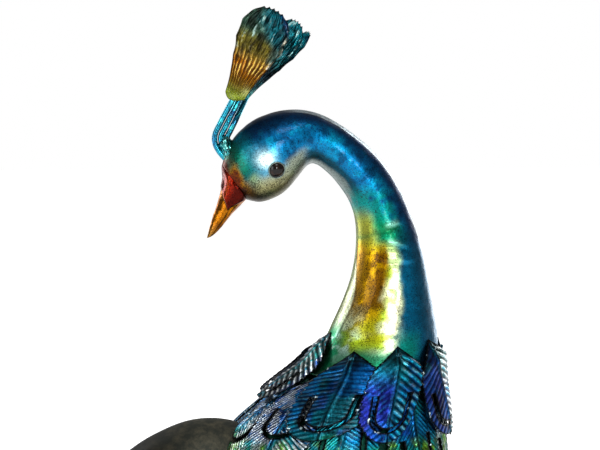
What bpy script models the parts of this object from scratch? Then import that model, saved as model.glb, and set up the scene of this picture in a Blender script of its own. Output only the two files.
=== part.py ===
"""Peacock bust in painted sheet metal, cut flat below.

The head, neck and shoulders are one pressed shell on a plain dark body whose
back rises as a low hump behind the shoulders. The beak is a cone set on the
front of the head, the eyes are beads in sockets, three bent rods carry three
stamped fans as a crest, and two rows of stamped leaf feathers hang on the
shoulders as a cape. Units are metres, +Z is up, the beak points to -X, and the
origin is on the flat underside. Run it with
blender --background --python part.py
"""

import math

import bmesh
import bpy
import numpy as np

MM = 0.001

# The figure: its pose, proportions and feathers are written in millimetres for
# a bust 423 mm tall, and scale with the height that is asked for.
FIGURE_HEIGHT = 423 * MM
FIGURE = FIGURE_HEIGHT / 423

# Fits
TOUCH_GAP = 0.3 * MM
EYE_CLEARANCE = 0.3 * MM

# Head and upper neck: each row is nape x, nape z, throat x, throat z and the
# half width across the bird, from the root of the beak to the straight neck.
HEAD_AND_NECK = [
    (-49.5, 281.7, -27.9, 251.1, 13.5),
    (-45.0, 296.5, -15.5, 249.0, 20.0),
    (-35.5, 310.0, -2.5, 252.6, 24.5),
    (-22.0, 321.0, 9.5, 260.6, 26.5),
    (-6.5, 327.6, 18.5, 271.6, 25.5),
    (9.5, 330.3, 25.0, 280.0, 23.0),
    (25.2, 329.8, 30.6, 283.6, 20.8),
    (40.5, 325.8, 35.6, 282.9, 19.6),
    (55.5, 318.0, 40.5, 280.0, 19.0),
    (70.0, 308.0, 47.0, 274.6, 19.0),
    (84.0, 296.4, 54.6, 266.4, 19.5),
    (97.0, 282.3, 61.8, 256.6, 20.0),
    (108.3, 265.8, 67.5, 246.2, 20.8),
    (118.0, 245.9, 71.1, 234.2, 22.0),
    (126.0, 225.5, 72.7, 220.5, 23.6),
]
# Straight neck, shoulders and body by height: z, back x, chest x, half depth.
LEVELS = [
    (204.0, 72.2, 132.6, 26.0),
    (182.7, 68.4, 137.2, 29.0),
    (162.0, 61.6, 141.0, 32.5),
    (142.0, 52.6, 144.8, 37.5),
    (119.0, 41.0, 147.5, 44.5),
    (95.4, 22.5, 147.6, 53.0),
    (79.2, 3.5, 148.0, 58.5),
    (61.2, -18.5, 149.0, 64.0),
    (43.2, -36.0, 149.5, 68.5),
    (25.2, -48.5, 150.0, 72.0),
    (0.0, -61.0, 150.5, 76.0),
]
NECK_FOOT_Z = 95.4
BODY_SQUARENESS = 0.7  # added to the oval's exponent at the underside

# The back that rises behind the shoulders: x, height, half width.
BACK_OFFSET = 6.0  # towards the far side
BACK = [
    (-153.0, 0.0, 0.0),
    (-150.5, 7.5, 13.0),
    (-144.0, 16.0, 22.5),
    (-133.0, 25.2, 30.5),
    (-121.0, 33.4, 35.5),
    (-107.0, 40.8, 39.0),
    (-79.0, 51.0, 42.0),
    (-58.0, 52.6, 40.0),
    (-42.0, 50.4, 36.0),
    (-20.0, 42.0, 31.0),
    (10.0, 24.0, 22.0),
]

# Beak: culmen x, culmen z, lower edge x, lower edge z, half width.
BEAK = [
    (-49.5, 281.7, -27.9, 251.1, 13.5),
    (-48.6, 270.5, -33.2, 245.6, 11.4),
    (-50.8, 259.0, -39.8, 239.0, 8.9),
    (-54.0, 247.5, -46.6, 230.6, 6.4),
    (-58.2, 235.0, -53.4, 223.0, 4.1),
    (-61.3, 224.5, -58.9, 218.4, 2.2),
]
BEAK_TIP = (-63.2, 216.8)

# Eyes
EYE_RADIUS = 8.2 * MM
EYE_STATION = 2.78  # along the head, counted in stations from the root of the beak
EYE_ANGLE = math.radians(111)  # from the nape, round the section
EYE_SUNK = 4.6 * MM

# Crest: the middle rod's route in the plane of the bird, as x and z
ROD_DIAMETER = 5.2 * MM
ROD_ROUTE = [
    (-36.0, 286.0),
    (-44.6, 293.6),
    (-49.6, 301.0),
    (-50.2, 307.5),
    (-46.4, 315.6),
    (-40.6, 327.0),
    (-33.2, 341.5),
    (-29.6, 348.5),
]
ROD_SPLAY_HEIGHT = 318.0  # above it the rods part sideways
FAN_PITCH = 9.0 * MM  # sideways, from one fan to the next
FAN_CUP = 3.0 * MM
FAN_RIB = 0.7 * MM
FAN_RIBS = 6
FAN_SHEET = 1.2 * MM
# Half width of a fan up its length, both as shares
FAN_OUTLINE = [
    (0.0, 0.4),
    (0.12, 0.47),
    (0.26, 0.6),
    (0.4, 0.76),
    (0.55, 0.92),
    (0.7, 1.0),
    (0.82, 0.93),
    (0.91, 0.74),
    (0.97, 0.46),
]
# For each fan: its foot's x and z, its lean back from upright, its length and its half width
FANS = [
    (-39.2, 343.0, 25.0, 84.4, 22.7),
    (-31.2, 344.2, 37.5, 82.0, 15.0),
    (-27.4, 344.0, 45.5, 81.0, 6.8),
]

# Feathers: the outline is the figure's, the sheet and its layers are real sizes
SHEET = 1.0 * MM
RACHIS_RISE = 0.8 * MM
APEX_SLOPE = 1.0  # half width gained for each length, at the point
LEAF_TURN = 4.0  # how quickly the point's straight sides turn into the full width
TONGUE_HALF_WIDTH = 12.5 * FIGURE
TONGUE_END = 78.0 * FIGURE
TONGUE_START = 46.0 * FIGURE
SLOT_WIDTH = 3.0 * FIGURE
SEATING_LENGTH = 22.0 * FIGURE  # over this, a feather rises from its weld
UPPER_LENGTH = 90.0 * FIGURE
LOWER_LENGTH = 114.0 * FIGURE
LAYER = 2.3 * MM
FIRST_LAYER = 1.1 * MM
UPPER_FIRST_LEVEL = 2
UPPER_LIFT = 3.2 * MM
LOWER_LIFT = 5.0 * MM
# Where each feather is welded, in order round the body from the near shoulder: angle
# round the body in degrees with 0 at the chest, height of its point, degrees that it
# leans round towards the chest, level among its neighbours, half width, and its size
# against the usual stamping.
UPPER_ROW = [
    (-124.0, 118.0, 14.0, 1, 27.0, 1.15),
    (-83.0, 122.5, 7.0, 2, 25.0, 1.0),
    (-45.0, 126.0, 16.0, 1, 25.0, 1.0),
    (-5.0, 124.0, 2.0, 0, 26.0, 1.0),
    (35.0, 124.0, -10.0, 1, 26.0, 1.0),
    (72.0, 124.0, -10.0, 2, 26.0, 1.0),
    (112.0, 120.5, -11.0, 1, 27.0, 1.0),
    (141.0, 124.0, -6.0, 2, 24.0, 1.0),
    (190.0, 131.0, -8.0, 0, 27.0, 1.0),
]
LOWER_ROW = [
    (-101.0, 86.0, 12.0, 0, 28.0, 1.0),
    (-63.0, 88.0, 11.0, 1, 28.0, 1.0),
    (-24.0, 86.0, 7.0, 0, 28.0, 1.0),
    (15.0, 86.0, -4.0, 1, 28.0, 1.0),
    (53.0, 86.0, -9.0, 0, 28.0, 1.0),
    (88.0, 86.0, -12.0, 1, 28.0, 1.0),
    (125.0, 84.0, -11.0, 0, 28.0, 1.0),
    (156.0, 82.0, -6.0, 1, 27.0, 1.0),
    (195.0, 90.0, -2.0, 0, 26.0, 1.0),
    (218.0, 98.0, 10.0, 1, 27.0, 1.0),
]

# Mesh fineness
NECK_SIDES = 22
NECK_RINGS = 29
LEAF_STEPS = 6


def smooth(keys, values, at):
    """Cubic curve through the rows of values at the rising keys, read at the given places."""
    keys = np.asarray(keys, float)
    values = np.asarray(values, float)
    at = np.atleast_1d(np.asarray(at, float))
    slopes = np.gradient(values, keys, axis=0)
    index = np.clip(np.searchsorted(keys, at, side="right") - 1, 0, len(keys) - 2)
    span = keys[index + 1] - keys[index]
    t = (at - keys[index]) / span
    if values.ndim > 1:
        t = t[:, None]
        span = span[:, None]
    start = (1 + 2 * t) * (1 - t) ** 2 * values[index]
    end = t * t * (3 - 2 * t) * values[index + 1]
    leave = t * (1 - t) ** 2 * span * slopes[index]
    arrive = t * t * (t - 1) * span * slopes[index + 1]
    return start + end + leave + arrive


def level(z):
    """Centre x, half length, half depth and oval exponent of the body at heights z, in metres."""
    rows = np.array(LEVELS[::-1])
    height = np.clip(np.asarray(z, float) / FIGURE, rows[0, 0], rows[-1, 0])
    back, chest, depth = smooth(rows[:, 0], rows[:, 1:], height).T
    exponent = 2 + BODY_SQUARENESS * np.clip(1 - height / NECK_FOOT_Z, 0, 1)
    return (back + chest) / 2 * FIGURE, (chest - back) / 2 * FIGURE, depth * FIGURE, exponent


def oval(angle, half_length, half_depth, exponent):
    """Point of a superellipse at the given angle, as x and y from its centre."""
    power = 2 / exponent
    x = np.sign(np.cos(angle)) * np.abs(np.cos(angle)) ** power * half_length
    y = np.sign(np.sin(angle)) * np.abs(np.sin(angle)) ** power * half_depth
    return x, y


def body_point(angle, z):
    """Point of the neck, shoulder and body surface at an angle round it and a height."""
    centre, half_length, half_depth, exponent = level(z)
    x, y = oval(angle, half_length, half_depth, exponent)
    return np.stack([centre + x, y, np.broadcast_to(z, np.shape(x))], axis=-1)


def body_normal(angle, z):
    """Outward unit normal of that surface, from small steps along it."""
    turn = 0.002
    rise = 0.2 * MM
    round_it = body_point(angle + turn, z) - body_point(angle - turn, z)
    up_it = body_point(angle, z + rise) - body_point(angle, z - rise)
    normal = np.cross(round_it, up_it)
    return normal / np.linalg.norm(normal, axis=-1, keepdims=True)


def material(name, colour, roughness, metallic):
    made = bpy.data.materials.new(name)
    made.use_nodes = True
    shader = made.node_tree.nodes["Principled BSDF"]
    shader.inputs["Base Color"].default_value = (*colour, 1)
    shader.inputs["Roughness"].default_value = roughness
    shader.inputs["Metallic"].default_value = metallic
    return made


def new_object(name, points, faces, finish):
    """One closed mesh object, its faces turned outwards and its sharp edges kept."""
    mesh = bpy.data.meshes.new(name)
    mesh.from_pydata([tuple(p) for p in points], [], faces)
    work = bmesh.new()
    work.from_mesh(mesh)
    bmesh.ops.recalc_face_normals(work, faces=work.faces)
    work.to_mesh(mesh)
    work.free()
    mesh.shade_smooth()
    mesh.set_sharp_from_angle(angle=math.radians(40))
    mesh.materials.append(finish)
    made = bpy.data.objects.new(name, mesh)
    bpy.context.scene.collection.objects.link(made)
    return made


def loft(name, rings, finish, tip=None):
    """Closed solid over rings of points, flat at both ends or drawn to a tip at the last."""
    sides = len(rings[0])
    points = np.concatenate(rings)
    faces = []
    for ring in range(len(rings) - 1):
        for side in range(sides):
            after = (side + 1) % sides
            low = ring * sides
            faces.append((low + side, low + after, low + sides + after, low + sides + side))
    faces.append(tuple(range(sides))[::-1])
    last = (len(rings) - 1) * sides
    if tip is None:
        faces.append(tuple(range(last, last + sides)))
    else:
        points = np.vstack([points, [tip]])
        apex = len(points) - 1
        faces += [(last + side, last + (side + 1) % sides, apex) for side in range(sides)]
    return new_object(name, points, faces, finish)


def boolean(target, operation, other):
    """Adds an exact Boolean with a helper that is not part of the bust."""
    other.hide_render = True
    other.display_type = "WIRE"
    modifier = target.modifiers.new(operation.lower(), "BOOLEAN")
    modifier.operation = operation
    modifier.solver = "EXACT"
    modifier.object = other


def section_ring(row, sides, grow=0.0, ridge=0.0):
    """Oval ring across the bird on a row of nape, throat and half width; ridge narrows its upper side."""
    nape = np.array([row[0], 0, row[1]]) * FIGURE
    throat = np.array([row[2], 0, row[3]]) * FIGURE
    centre = (nape + throat) / 2
    reach = (nape - throat) / 2
    reach *= 1 + grow / np.linalg.norm(reach)
    angle = np.linspace(0, 2 * math.pi, sides, endpoint=False)[:, None]
    across = np.array([0, row[4] * FIGURE + grow, 0])
    return centre + reach * np.cos(angle) + across * np.sin(angle) * (1 - ridge * np.cos(angle))


def neck_stations():
    """Every station of the neck as nape, throat and half width, the levels included down to its foot."""
    rows = list(HEAD_AND_NECK)
    rows += [(chest, z, back, z, depth) for z, back, chest, depth in LEVELS if z >= NECK_FOOT_Z]
    return np.array(rows)


def neck_rings(grow=0.0):
    stations = neck_stations()
    places = np.linspace(0, len(stations) - 1, NECK_RINGS)
    rows = smooth(np.arange(len(stations)), stations, places)
    rows[0] = stations[0]
    return [section_ring(row, NECK_SIDES, grow) for row in rows]


def make_neck_and_head(finish):
    neck = loft("neck_and_head", neck_rings(), finish)
    for name, (centre, _) in eye_places().items():
        socket = ball("socket_" + name, EYE_RADIUS + EYE_CLEARANCE, centre, finish)
        boolean(neck, "DIFFERENCE", socket)
    return neck


def ball(name, radius, centre, finish):
    work = bmesh.new()
    bmesh.ops.create_uvsphere(work, u_segments=14, v_segments=9, radius=radius)
    mesh = bpy.data.meshes.new(name)
    work.to_mesh(mesh)
    work.free()
    mesh.shade_smooth()
    mesh.materials.append(finish)
    made = bpy.data.objects.new(name, mesh)
    made.location = centre
    bpy.context.scene.collection.objects.link(made)
    return made


def eye_places():
    """Centre and outward direction of each eye, from the head's own section."""
    row = smooth(np.arange(len(HEAD_AND_NECK)), HEAD_AND_NECK, EYE_STATION)[0]
    nape = np.array([row[0], 0, row[1]]) * FIGURE
    throat = np.array([row[2], 0, row[3]]) * FIGURE
    reach = (nape - throat) / 2
    found = {}
    for name, side in (("eye_near", -1), ("eye_far", 1)):
        across = np.array([0, side * row[4] * FIGURE, 0])
        point = (nape + throat) / 2 + reach * math.cos(EYE_ANGLE) + across * math.sin(EYE_ANGLE)
        outward = reach / np.dot(reach, reach) * math.cos(EYE_ANGLE)
        outward = outward + across / np.dot(across, across) * math.sin(EYE_ANGLE)
        outward /= np.linalg.norm(outward)
        found[name] = (point - outward * EYE_SUNK, outward)
    return found


def make_eyes(finish):
    for name, (centre, _) in eye_places().items():
        ball(name, EYE_RADIUS, centre, finish)


def make_beak(finish):
    """Cone from the flat front of the head, a touch gap away from it, to the tip."""
    rows = np.array(BEAK)
    places = np.linspace(0, len(rows) - 1, 2 * (len(rows) - 1) + 1)
    rings = [section_ring(row, 14, ridge=0.22) for row in smooth(np.arange(len(rows)), rows, places)]
    nape = rings[0][0]
    throat = rings[0][7]
    along = np.cross(nape - throat, [0, 1, 0])
    along /= np.linalg.norm(along)
    tip = np.array([BEAK_TIP[0], 0, BEAK_TIP[1]]) * FIGURE
    if np.dot(along, tip - nape) < 0:
        along = -along
    rings[0] = rings[0] + along * TOUCH_GAP
    return loft("beak", rings, finish, tip)


def back_solid(name, finish, grow=0.0, foot=0.0):
    """Low hump of the back, as half ovals across the bird standing on a flat foot."""
    rows = np.array(BACK)
    places = np.linspace(rows[1, 0], rows[-1, 0], 15)
    arch = np.linspace(-math.pi / 2, math.pi / 2, 13)
    rings = []
    for x, height, half_width in np.column_stack([places, smooth(rows[:, 0], rows[:, 1:], places)]):
        y = np.sin(arch) * (half_width * FIGURE + grow)
        z = np.cos(arch) * (height * FIGURE + grow)
        z[[0, -1]] = foot
        rings.append(np.stack([np.full_like(y, x * FIGURE), y + BACK_OFFSET * FIGURE, z], axis=-1))
    nose = (rows[0, 0] * FIGURE - grow, BACK_OFFSET * FIGURE, foot)
    return loft(name, rings[::-1], finish, nose)


def make_body_shell(finish):
    """Shoulders and chest under the cape, joined to the low hump of the back."""
    heights = np.linspace(0, NECK_FOOT_Z * FIGURE - TOUCH_GAP, 8)
    angles = np.linspace(0, 2 * math.pi, 32, endpoint=False)
    body = loft("body_shell", [body_point(angles, z) for z in heights], finish)
    boolean(body, "UNION", back_solid("back_hump", finish))
    return body


def rod_route(index):
    """Centre line of one rod: the middle route moved sideways in its own plane, parting at the top."""
    rows = np.array(ROD_ROUTE)
    places = np.linspace(0, len(rows) - 1, 15)
    line = smooth(np.arange(len(rows)), rows, places) * FIGURE
    ahead = np.gradient(line, axis=0)
    ahead /= np.linalg.norm(ahead, axis=1, keepdims=True)
    aside = np.stack([ahead[:, 1], -ahead[:, 0]], axis=1)
    line = line + aside * (index - 1) * (ROD_DIAMETER + TOUCH_GAP)
    top = line[-1, 1]
    start = ROD_SPLAY_HEIGHT * FIGURE
    share = np.clip((line[:, 1] - start) / (top - start), 0, 1)
    sideways = (index - 1) * FAN_PITCH * share * share * (3 - 2 * share)
    return np.stack([line[:, 0], sideways, line[:, 1]], axis=1)


def make_rods(finish):
    head = loft("rod_foot_cutter", neck_rings(grow=TOUCH_GAP), finish)
    for index in range(3):
        route = rod_route(index)
        curve = bpy.data.curves.new(f"crest_rod_{index + 1}", "CURVE")
        curve.dimensions = "3D"
        curve.bevel_depth = ROD_DIAMETER / 2
        curve.bevel_resolution = 2
        curve.use_fill_caps = True
        spline = curve.splines.new("POLY")
        spline.points.add(len(route) - 1)
        for point, place in zip(spline.points, route):
            point.co = (*place, 1)
        curve.materials.append(finish)
        carrier = bpy.data.objects.new(f"rod_curve_{index + 1}", curve)
        bpy.context.scene.collection.objects.link(carrier)
        graph = bpy.context.evaluated_depsgraph_get()
        mesh = bpy.data.meshes.new_from_object(carrier.evaluated_get(graph))
        bpy.data.objects.remove(carrier)
        work = bmesh.new()
        work.from_mesh(mesh)
        bmesh.ops.remove_doubles(work, verts=work.verts, dist=0.01 * MM)
        bmesh.ops.recalc_face_normals(work, faces=work.faces)
        work.to_mesh(mesh)
        work.free()
        rod = bpy.data.objects.new(f"crest_rod_{index + 1}", mesh)
        bpy.context.scene.collection.objects.link(rod)
        boolean(rod, "DIFFERENCE", head)


def sheet_solid(name, front, back, faces, finish):
    """Thin closed solid between two matching surfaces, walled along their free edges."""
    count = len(front)
    edges = {}
    for face in faces:
        for start, end in zip(face, face[1:] + face[:1]):
            edges[(start, end)] = True
    solid = list(faces)
    solid += [tuple(i + count for i in face[::-1]) for face in faces]
    for start, end in edges:
        if (end, start) not in edges:
            solid.append((end, start, start + count, end + count))
    return new_object(name, np.vstack([front, back]), solid, finish)


def make_fan(index, finish):
    """Cupped and ribbed shell on the near side of its rod, widest near the top."""
    foot_x, foot_z, lean, length, half_width = FANS[index]
    length *= FIGURE
    half_width *= FIGURE
    lean = math.radians(lean)
    up = np.array([math.sin(lean), 0, math.cos(lean)])
    right = np.array([math.cos(lean), 0, -math.sin(lean)])
    depth = (index - 1) * FAN_PITCH - ROD_DIAMETER / 2 - TOUCH_GAP - FAN_SHEET - FAN_RIB
    foot = np.array([foot_x * FIGURE, depth, foot_z * FIGURE])
    outline = np.array(FAN_OUTLINE)
    top = outline[-1, 0]
    columns = 2 * FAN_RIBS
    rows = 7
    across = np.linspace(-1, 1, columns + 1)
    ribs = FAN_RIB * np.cos(np.arange(columns + 1) * math.pi)
    front = []
    for u in np.linspace(0, top, rows + 1):
        half = smooth(outline[:, 0], outline[:, 1], u)[0] * half_width
        rounding = (1 - across**2) * (1 - top) * length * (u / top) ** 6
        cup = -FAN_CUP * (across * half / half_width) ** 2
        for share, round_up, out in zip(across, rounding, cup + ribs * min(1, 3 * u)):
            front.append(foot + up * (u * length + round_up) + right * share * half + [0, out, 0])
    front = np.array(front)
    back = front + [0, FAN_SHEET, 0]
    wide = columns + 1
    faces = [
        (row * wide + i, row * wide + i + 1, (row + 1) * wide + i + 1, (row + 1) * wide + i)
        for row in range(rows)
        for i in range(columns)
    ]
    return sheet_solid(f"crest_fan_{index + 1}", front, back, faces, finish)


def leaf_half_width(along, length, half_width):
    """Half width of a leaf: a straight-sided point, then full width, then a round end."""
    pointed = along * APEX_SLOPE
    blunt = (pointed**-LEAF_TURN + half_width**-LEAF_TURN) ** (-1 / LEAF_TURN)
    end = np.clip((along - (length - half_width * 1.4)) / (half_width * 1.4), 0, 1)
    return blunt * np.sqrt(np.maximum(1 - end**2.4, 0))


def leaf_mesh(length, half_width):
    """Flat leaf as points (across, along) and faces: rings round the rachis, with a slot round the tongue.

    The rings are the rachis, the tongue's edge, the slot's outer edge and the leaf's outline. Between the
    second and the third, the faces of the lower part are left out, and that opening is the slot.
    """
    share = np.linspace(0, 1, LEAF_STEPS + 1)[1:-1]
    upper_end = TONGUE_END - TONGUE_HALF_WIDTH
    stations = share * upper_end
    rings = [[], [], [], []]

    def add(angle, along):
        """One spoke of four points, straight across above the tongue's end and turning round it below."""
        if angle is None:
            outline = float(leaf_half_width(along, length, half_width))
            tongue = min(TONGUE_HALF_WIDTH, 0.6 * outline)
            slot = min(TONGUE_HALF_WIDTH + SLOT_WIDTH, 0.78 * outline)
            spoke = [(0, along), (tongue, along), (slot, along), (outline, along)]
        else:
            unit = np.array([math.sin(angle), math.cos(angle)])
            centre = np.array([0, upper_end])
            reach = np.linspace(0, length, 400)
            ray = centre + unit * reach[:, None]
            inside = np.abs(ray[:, 0]) <= leaf_half_width(np.minimum(ray[:, 1], length), length, half_width)
            far = reach[np.nonzero(inside & (ray[:, 1] < length))[0][-1]]
            spoke = [tuple(centre + unit * r)
                     for r in (0, TONGUE_HALF_WIDTH, TONGUE_HALF_WIDTH + SLOT_WIDTH, far)]
        for ring, place in zip(rings, spoke):
            ring.append(place)

    for along in stations:
        add(None, along)
    quarter = 4
    for turn in np.linspace(math.pi / 2, 0, quarter + 1):
        add(turn, None)
    half = [np.array(ring) for ring in rings]
    columns = len(half[0])

    points = [(0.0, 0.0)]
    index = {}

    def place(side, ring, column):
        """Index of a point, shared where both sides meet on the middle line."""
        across, along = half[ring][column]
        key = (round(side * across, 7), round(along, 7))
        if key not in index:
            index[key] = len(points)
            points.append((side * across, along))
        return index[key]

    faces = []
    for side in (1, -1):
        for column in range(columns - 1):
            for ring in range(3):
                if ring == 1 and half[0][column][1] >= TONGUE_START:
                    continue
                corners = [
                    place(side, ring, column),
                    place(side, ring + 1, column),
                    place(side, ring + 1, column + 1),
                    place(side, ring, column + 1),
                ]
                corners = list(dict.fromkeys(corners))
                faces.append(tuple(corners if side > 0 else corners[::-1]))
        for ring in range(3):
            corners = [0, place(side, ring + 1, 0), place(side, ring, 0)]
            faces.append(tuple(corners if side > 0 else corners[::-1]))
    return np.array(points), faces


def feather_surface(across, along, angle, point_height, lean, height, lift, length):
    """Wraps flat leaf points on to the body: down its slope from the point, and round it."""
    start = math.radians(angle)
    tilt = math.radians(lean)
    turned = across * math.cos(tilt) + along * math.sin(tilt)
    down = along * math.cos(tilt) - across * math.sin(tilt)
    heights = np.linspace(point_height + 0.03, -0.06, 400)
    slope = body_point(np.full_like(heights, start), np.maximum(heights, 0))
    slope[:, 2] = heights
    run = np.concatenate([[0], np.cumsum(np.linalg.norm(np.diff(slope, axis=0), axis=1))])
    run -= np.interp(-point_height, -heights, run)
    z = np.interp(down, run, heights)
    on_body = np.maximum(z, 0.2 * MM)
    beside = body_point(start + 0.01, on_body) - body_point(start - 0.01, on_body)
    around = start + turned / (np.linalg.norm(beside, axis=-1) / 0.02)
    normal = body_normal(around, on_body)
    place = body_point(around, on_body)
    place[..., 2] = z
    seated = np.clip(along / SEATING_LENGTH, 0, 1)
    rise = TOUCH_GAP + (height - TOUCH_GAP) * seated * seated * (3 - 2 * seated)
    rise = rise + lift * np.clip(along / length, 0, 1) ** 2
    rise = rise + RACHIS_RISE * np.clip(1 - np.abs(across) / (0.2 * TONGUE_HALF_WIDTH), 0, 1) * seated
    return place + normal * rise[..., None], normal


def make_feather(name, place, length, lift, first_level, finish, cutters):
    """One feather: the flat leaf wrapped on the body, given its sheet and trimmed by what it meets."""
    angle, point_height, lean, level_up, half_width, size = place
    height = FIRST_LAYER + LAYER * (first_level + level_up)
    flat, faces = leaf_mesh(length, half_width * FIGURE)
    flat = flat * size
    back, normal = feather_surface(
        flat[:, 0], flat[:, 1], angle, point_height * FIGURE, lean, height, lift, length * size
    )
    front = back + normal * SHEET
    feather = sheet_solid(name, front, back, faces, finish)
    both = np.vstack([front, back])
    for cutter, limit in cutters:
        if limit(both):
            boolean(feather, "DIFFERENCE", cutter)
    return feather


def make_cape(finish):
    """Two staggered rows of feathers, trimmed at the foot and where the back comes through them."""
    size = FIGURE_HEIGHT
    corners = [(-size, -size), (size, -size), (size, size), (-size, size)]
    ground = loft("ground_cutter", [np.array([(x, y, z) for x, y in corners]) for z in (-size, 0)], finish)
    hump = back_solid("back_cutter", finish, TOUCH_GAP, -TOUCH_GAP)
    top = max(row[1] for row in BACK) * FIGURE

    def meets_ground(points):
        return points[:, 2].min() < 0

    def meets_back(points):
        return ((points[:, 0] < 0) & (points[:, 2] < top)).any()

    cutters = [(ground, meets_ground), (hump, meets_back)]
    for i, place in enumerate(UPPER_ROW):
        make_feather(f"feather_upper_{i + 1:02d}", place, UPPER_LENGTH, UPPER_LIFT, UPPER_FIRST_LEVEL,
                     finish, cutters)
    for i, place in enumerate(LOWER_ROW):
        make_feather(f"feather_lower_{i + 1:02d}", place, LOWER_LENGTH, LOWER_LIFT, 0, finish, cutters)


def main():
    for old in list(bpy.data.objects):
        bpy.data.objects.remove(old)
    lacquer = material("blue_lacquer_on_steel", (0.02, 0.16, 0.34), 0.3, 0.8)
    dark = material("dark_steel", (0.05, 0.05, 0.045), 0.7, 0.3)
    amber = material("amber_lacquer_on_steel", (0.45, 0.15, 0.02), 0.3, 0.6)
    glass = material("black_glass", (0.01, 0.008, 0.008), 0.05, 0.0)
    teal = material("teal_lacquer_on_steel", (0.02, 0.25, 0.3), 0.3, 0.8)
    make_neck_and_head(lacquer)
    make_body_shell(dark)
    make_beak(amber)
    make_eyes(glass)
    make_rods(teal)
    for index in range(3):
        make_fan(index, teal)
    make_cape(lacquer)


main()
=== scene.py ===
# %% [markdown]
# A peacock bust in lacquered sheet metal
#
# The bird is made the way a metalworker makes it: a pressed tube for the head and neck, a plain
# dark shell for the body, a cone for the beak, bent rods with stamped fans for the crest, and two
# rows of stamped leaves for the cape. The solid model gives every piece its place. This lesson
# gives each piece its fine surface and its translucent paint.

# %% Load the solid model
import math

import bmesh
import bpy
import numpy as np
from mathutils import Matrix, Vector


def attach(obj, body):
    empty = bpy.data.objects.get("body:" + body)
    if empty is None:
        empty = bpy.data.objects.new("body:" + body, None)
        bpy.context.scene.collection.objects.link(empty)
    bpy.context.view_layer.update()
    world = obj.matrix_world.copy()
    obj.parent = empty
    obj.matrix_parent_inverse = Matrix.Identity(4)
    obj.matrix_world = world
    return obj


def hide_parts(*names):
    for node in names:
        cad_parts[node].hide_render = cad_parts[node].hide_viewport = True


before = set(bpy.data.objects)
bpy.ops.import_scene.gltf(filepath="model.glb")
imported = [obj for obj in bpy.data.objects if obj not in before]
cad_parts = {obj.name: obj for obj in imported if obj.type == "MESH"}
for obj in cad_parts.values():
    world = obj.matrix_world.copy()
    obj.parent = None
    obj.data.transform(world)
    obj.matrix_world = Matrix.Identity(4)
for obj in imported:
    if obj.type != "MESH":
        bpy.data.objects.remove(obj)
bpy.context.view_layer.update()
MM = 0.001
print("solid nodes:", len(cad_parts))

# %% [markdown]
# The camera comes first. A long lens a little over a metre away keeps the neck's curve true.
# The bird is seen almost square from the side, with the camera a few degrees towards the beak
# and a little above the bird's eye.

# %% Camera
PIXEL = 0.9 * MM  # of the picture, measured in the bird's middle plane
PICTURE = (600, 450)
EYE_PIXEL_X = 277
FLOOR_PIXEL_Y = 478
CAMERA_AZIMUTH = math.radians(-8)
CAMERA_HEIGHT_ANGLE = math.radians(4)
LENS = 85
SENSOR = 36

aim = np.array([(PICTURE[0] / 2 - EYE_PIXEL_X) * PIXEL, 0, (FLOOR_PIXEL_Y - PICTURE[1] / 2) * PIXEL])
camera_distance = PICTURE[0] * PIXEL * LENS / SENSOR


def toward(azimuth, height_angle):
    """Unit vector from the bird to a viewer: azimuth turns round +Z from the -Y side, then up."""
    flat = math.cos(height_angle)
    return np.array([math.sin(azimuth) * flat, -math.cos(azimuth) * flat, math.sin(height_angle)])


def look_at(thing, place, target):
    """Puts a camera or a lamp at a place with its -Z axis on the target."""
    thing.location = place
    thing.rotation_euler = Vector(np.subtract(target, place)).to_track_quat("-Z", "Y").to_euler()


lens = bpy.data.cameras.new("camera")
lens.lens = LENS
lens.sensor_width = SENSOR
camera = bpy.data.objects.new("camera", lens)
bpy.context.scene.collection.objects.link(camera)
look_at(camera, aim + toward(CAMERA_AZIMUTH, CAMERA_HEIGHT_ANGLE) * camera_distance, aim)
bpy.context.scene.camera = camera
print("camera distance in metres:", round(camera_distance, 3))

# %% [markdown]
# Shiny metal shows the room more than itself. The studio is a white room with a soft box beside
# the camera, one overhead, and two tall strips behind the bird that draw its bright rims.

# %% Studio
scene = bpy.context.scene
scene.view_settings.view_transform = "Standard"
LAMPS_AIM = np.array([0.04, 0, 0.2])  # middle of the bird


def lamp(name, azimuth, height_angle, distance, size, power):
    """Rectangular soft box that faces the middle of the bird."""
    data = bpy.data.lights.new(name, "AREA")
    data.shape = "RECTANGLE"
    data.size, data.size_y = size
    data.energy = power
    made = bpy.data.objects.new(name, data)
    scene.collection.objects.link(made)
    away = toward(math.radians(azimuth), math.radians(height_angle))
    look_at(made, LAMPS_AIM + away * distance, LAMPS_AIM)


lamp("key_box", 6, 15, 1.3, (0.2, 0.42), 5.5)
lamp("fill_box", -50, 12, 1.5, (0.6, 0.9), 8)
lamp("top_box", 8, 52, 1.4, (0.5, 0.3), 3.5)
lamp("rim_right", 134, 12, 1.4, (0.4, 1.4), 10)
lamp("rim_left", -128, 10, 1.4, (0.4, 1.4), 13)

# %% [markdown]
# Each node is added by one small function, so a material reads like a list of what it is made of.
# Colours are written as they look on screen and turned to linear light.

# %% Colour and nodes


def linear(hex_colour):
    """Linear red, green and blue of a screen colour: the standard curve undone channel by channel."""
    screen = np.array([int(hex_colour[i:i + 2], 16) for i in (1, 3, 5)]) / 255
    return np.where(screen <= 0.04045, screen / 12.92, ((screen + 0.055) / 1.055) ** 2.4)


def rgba(hex_colour):
    """A screen colour as a shader socket takes it: linear, with full alpha."""
    return (*linear(hex_colour), 1)


def add(tree, kind, inputs=None, **settings):
    """Adds a node with its settings. An input that is a socket is linked, and any other is its value."""
    made = tree.nodes.new(kind)
    for name, value in settings.items():
        setattr(made, name, value)
    for name, value in (inputs or {}).items():
        if isinstance(value, bpy.types.NodeSocket):
            tree.links.new(value, made.inputs[name])
        else:
            made.inputs[name].default_value = value
    return made


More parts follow.
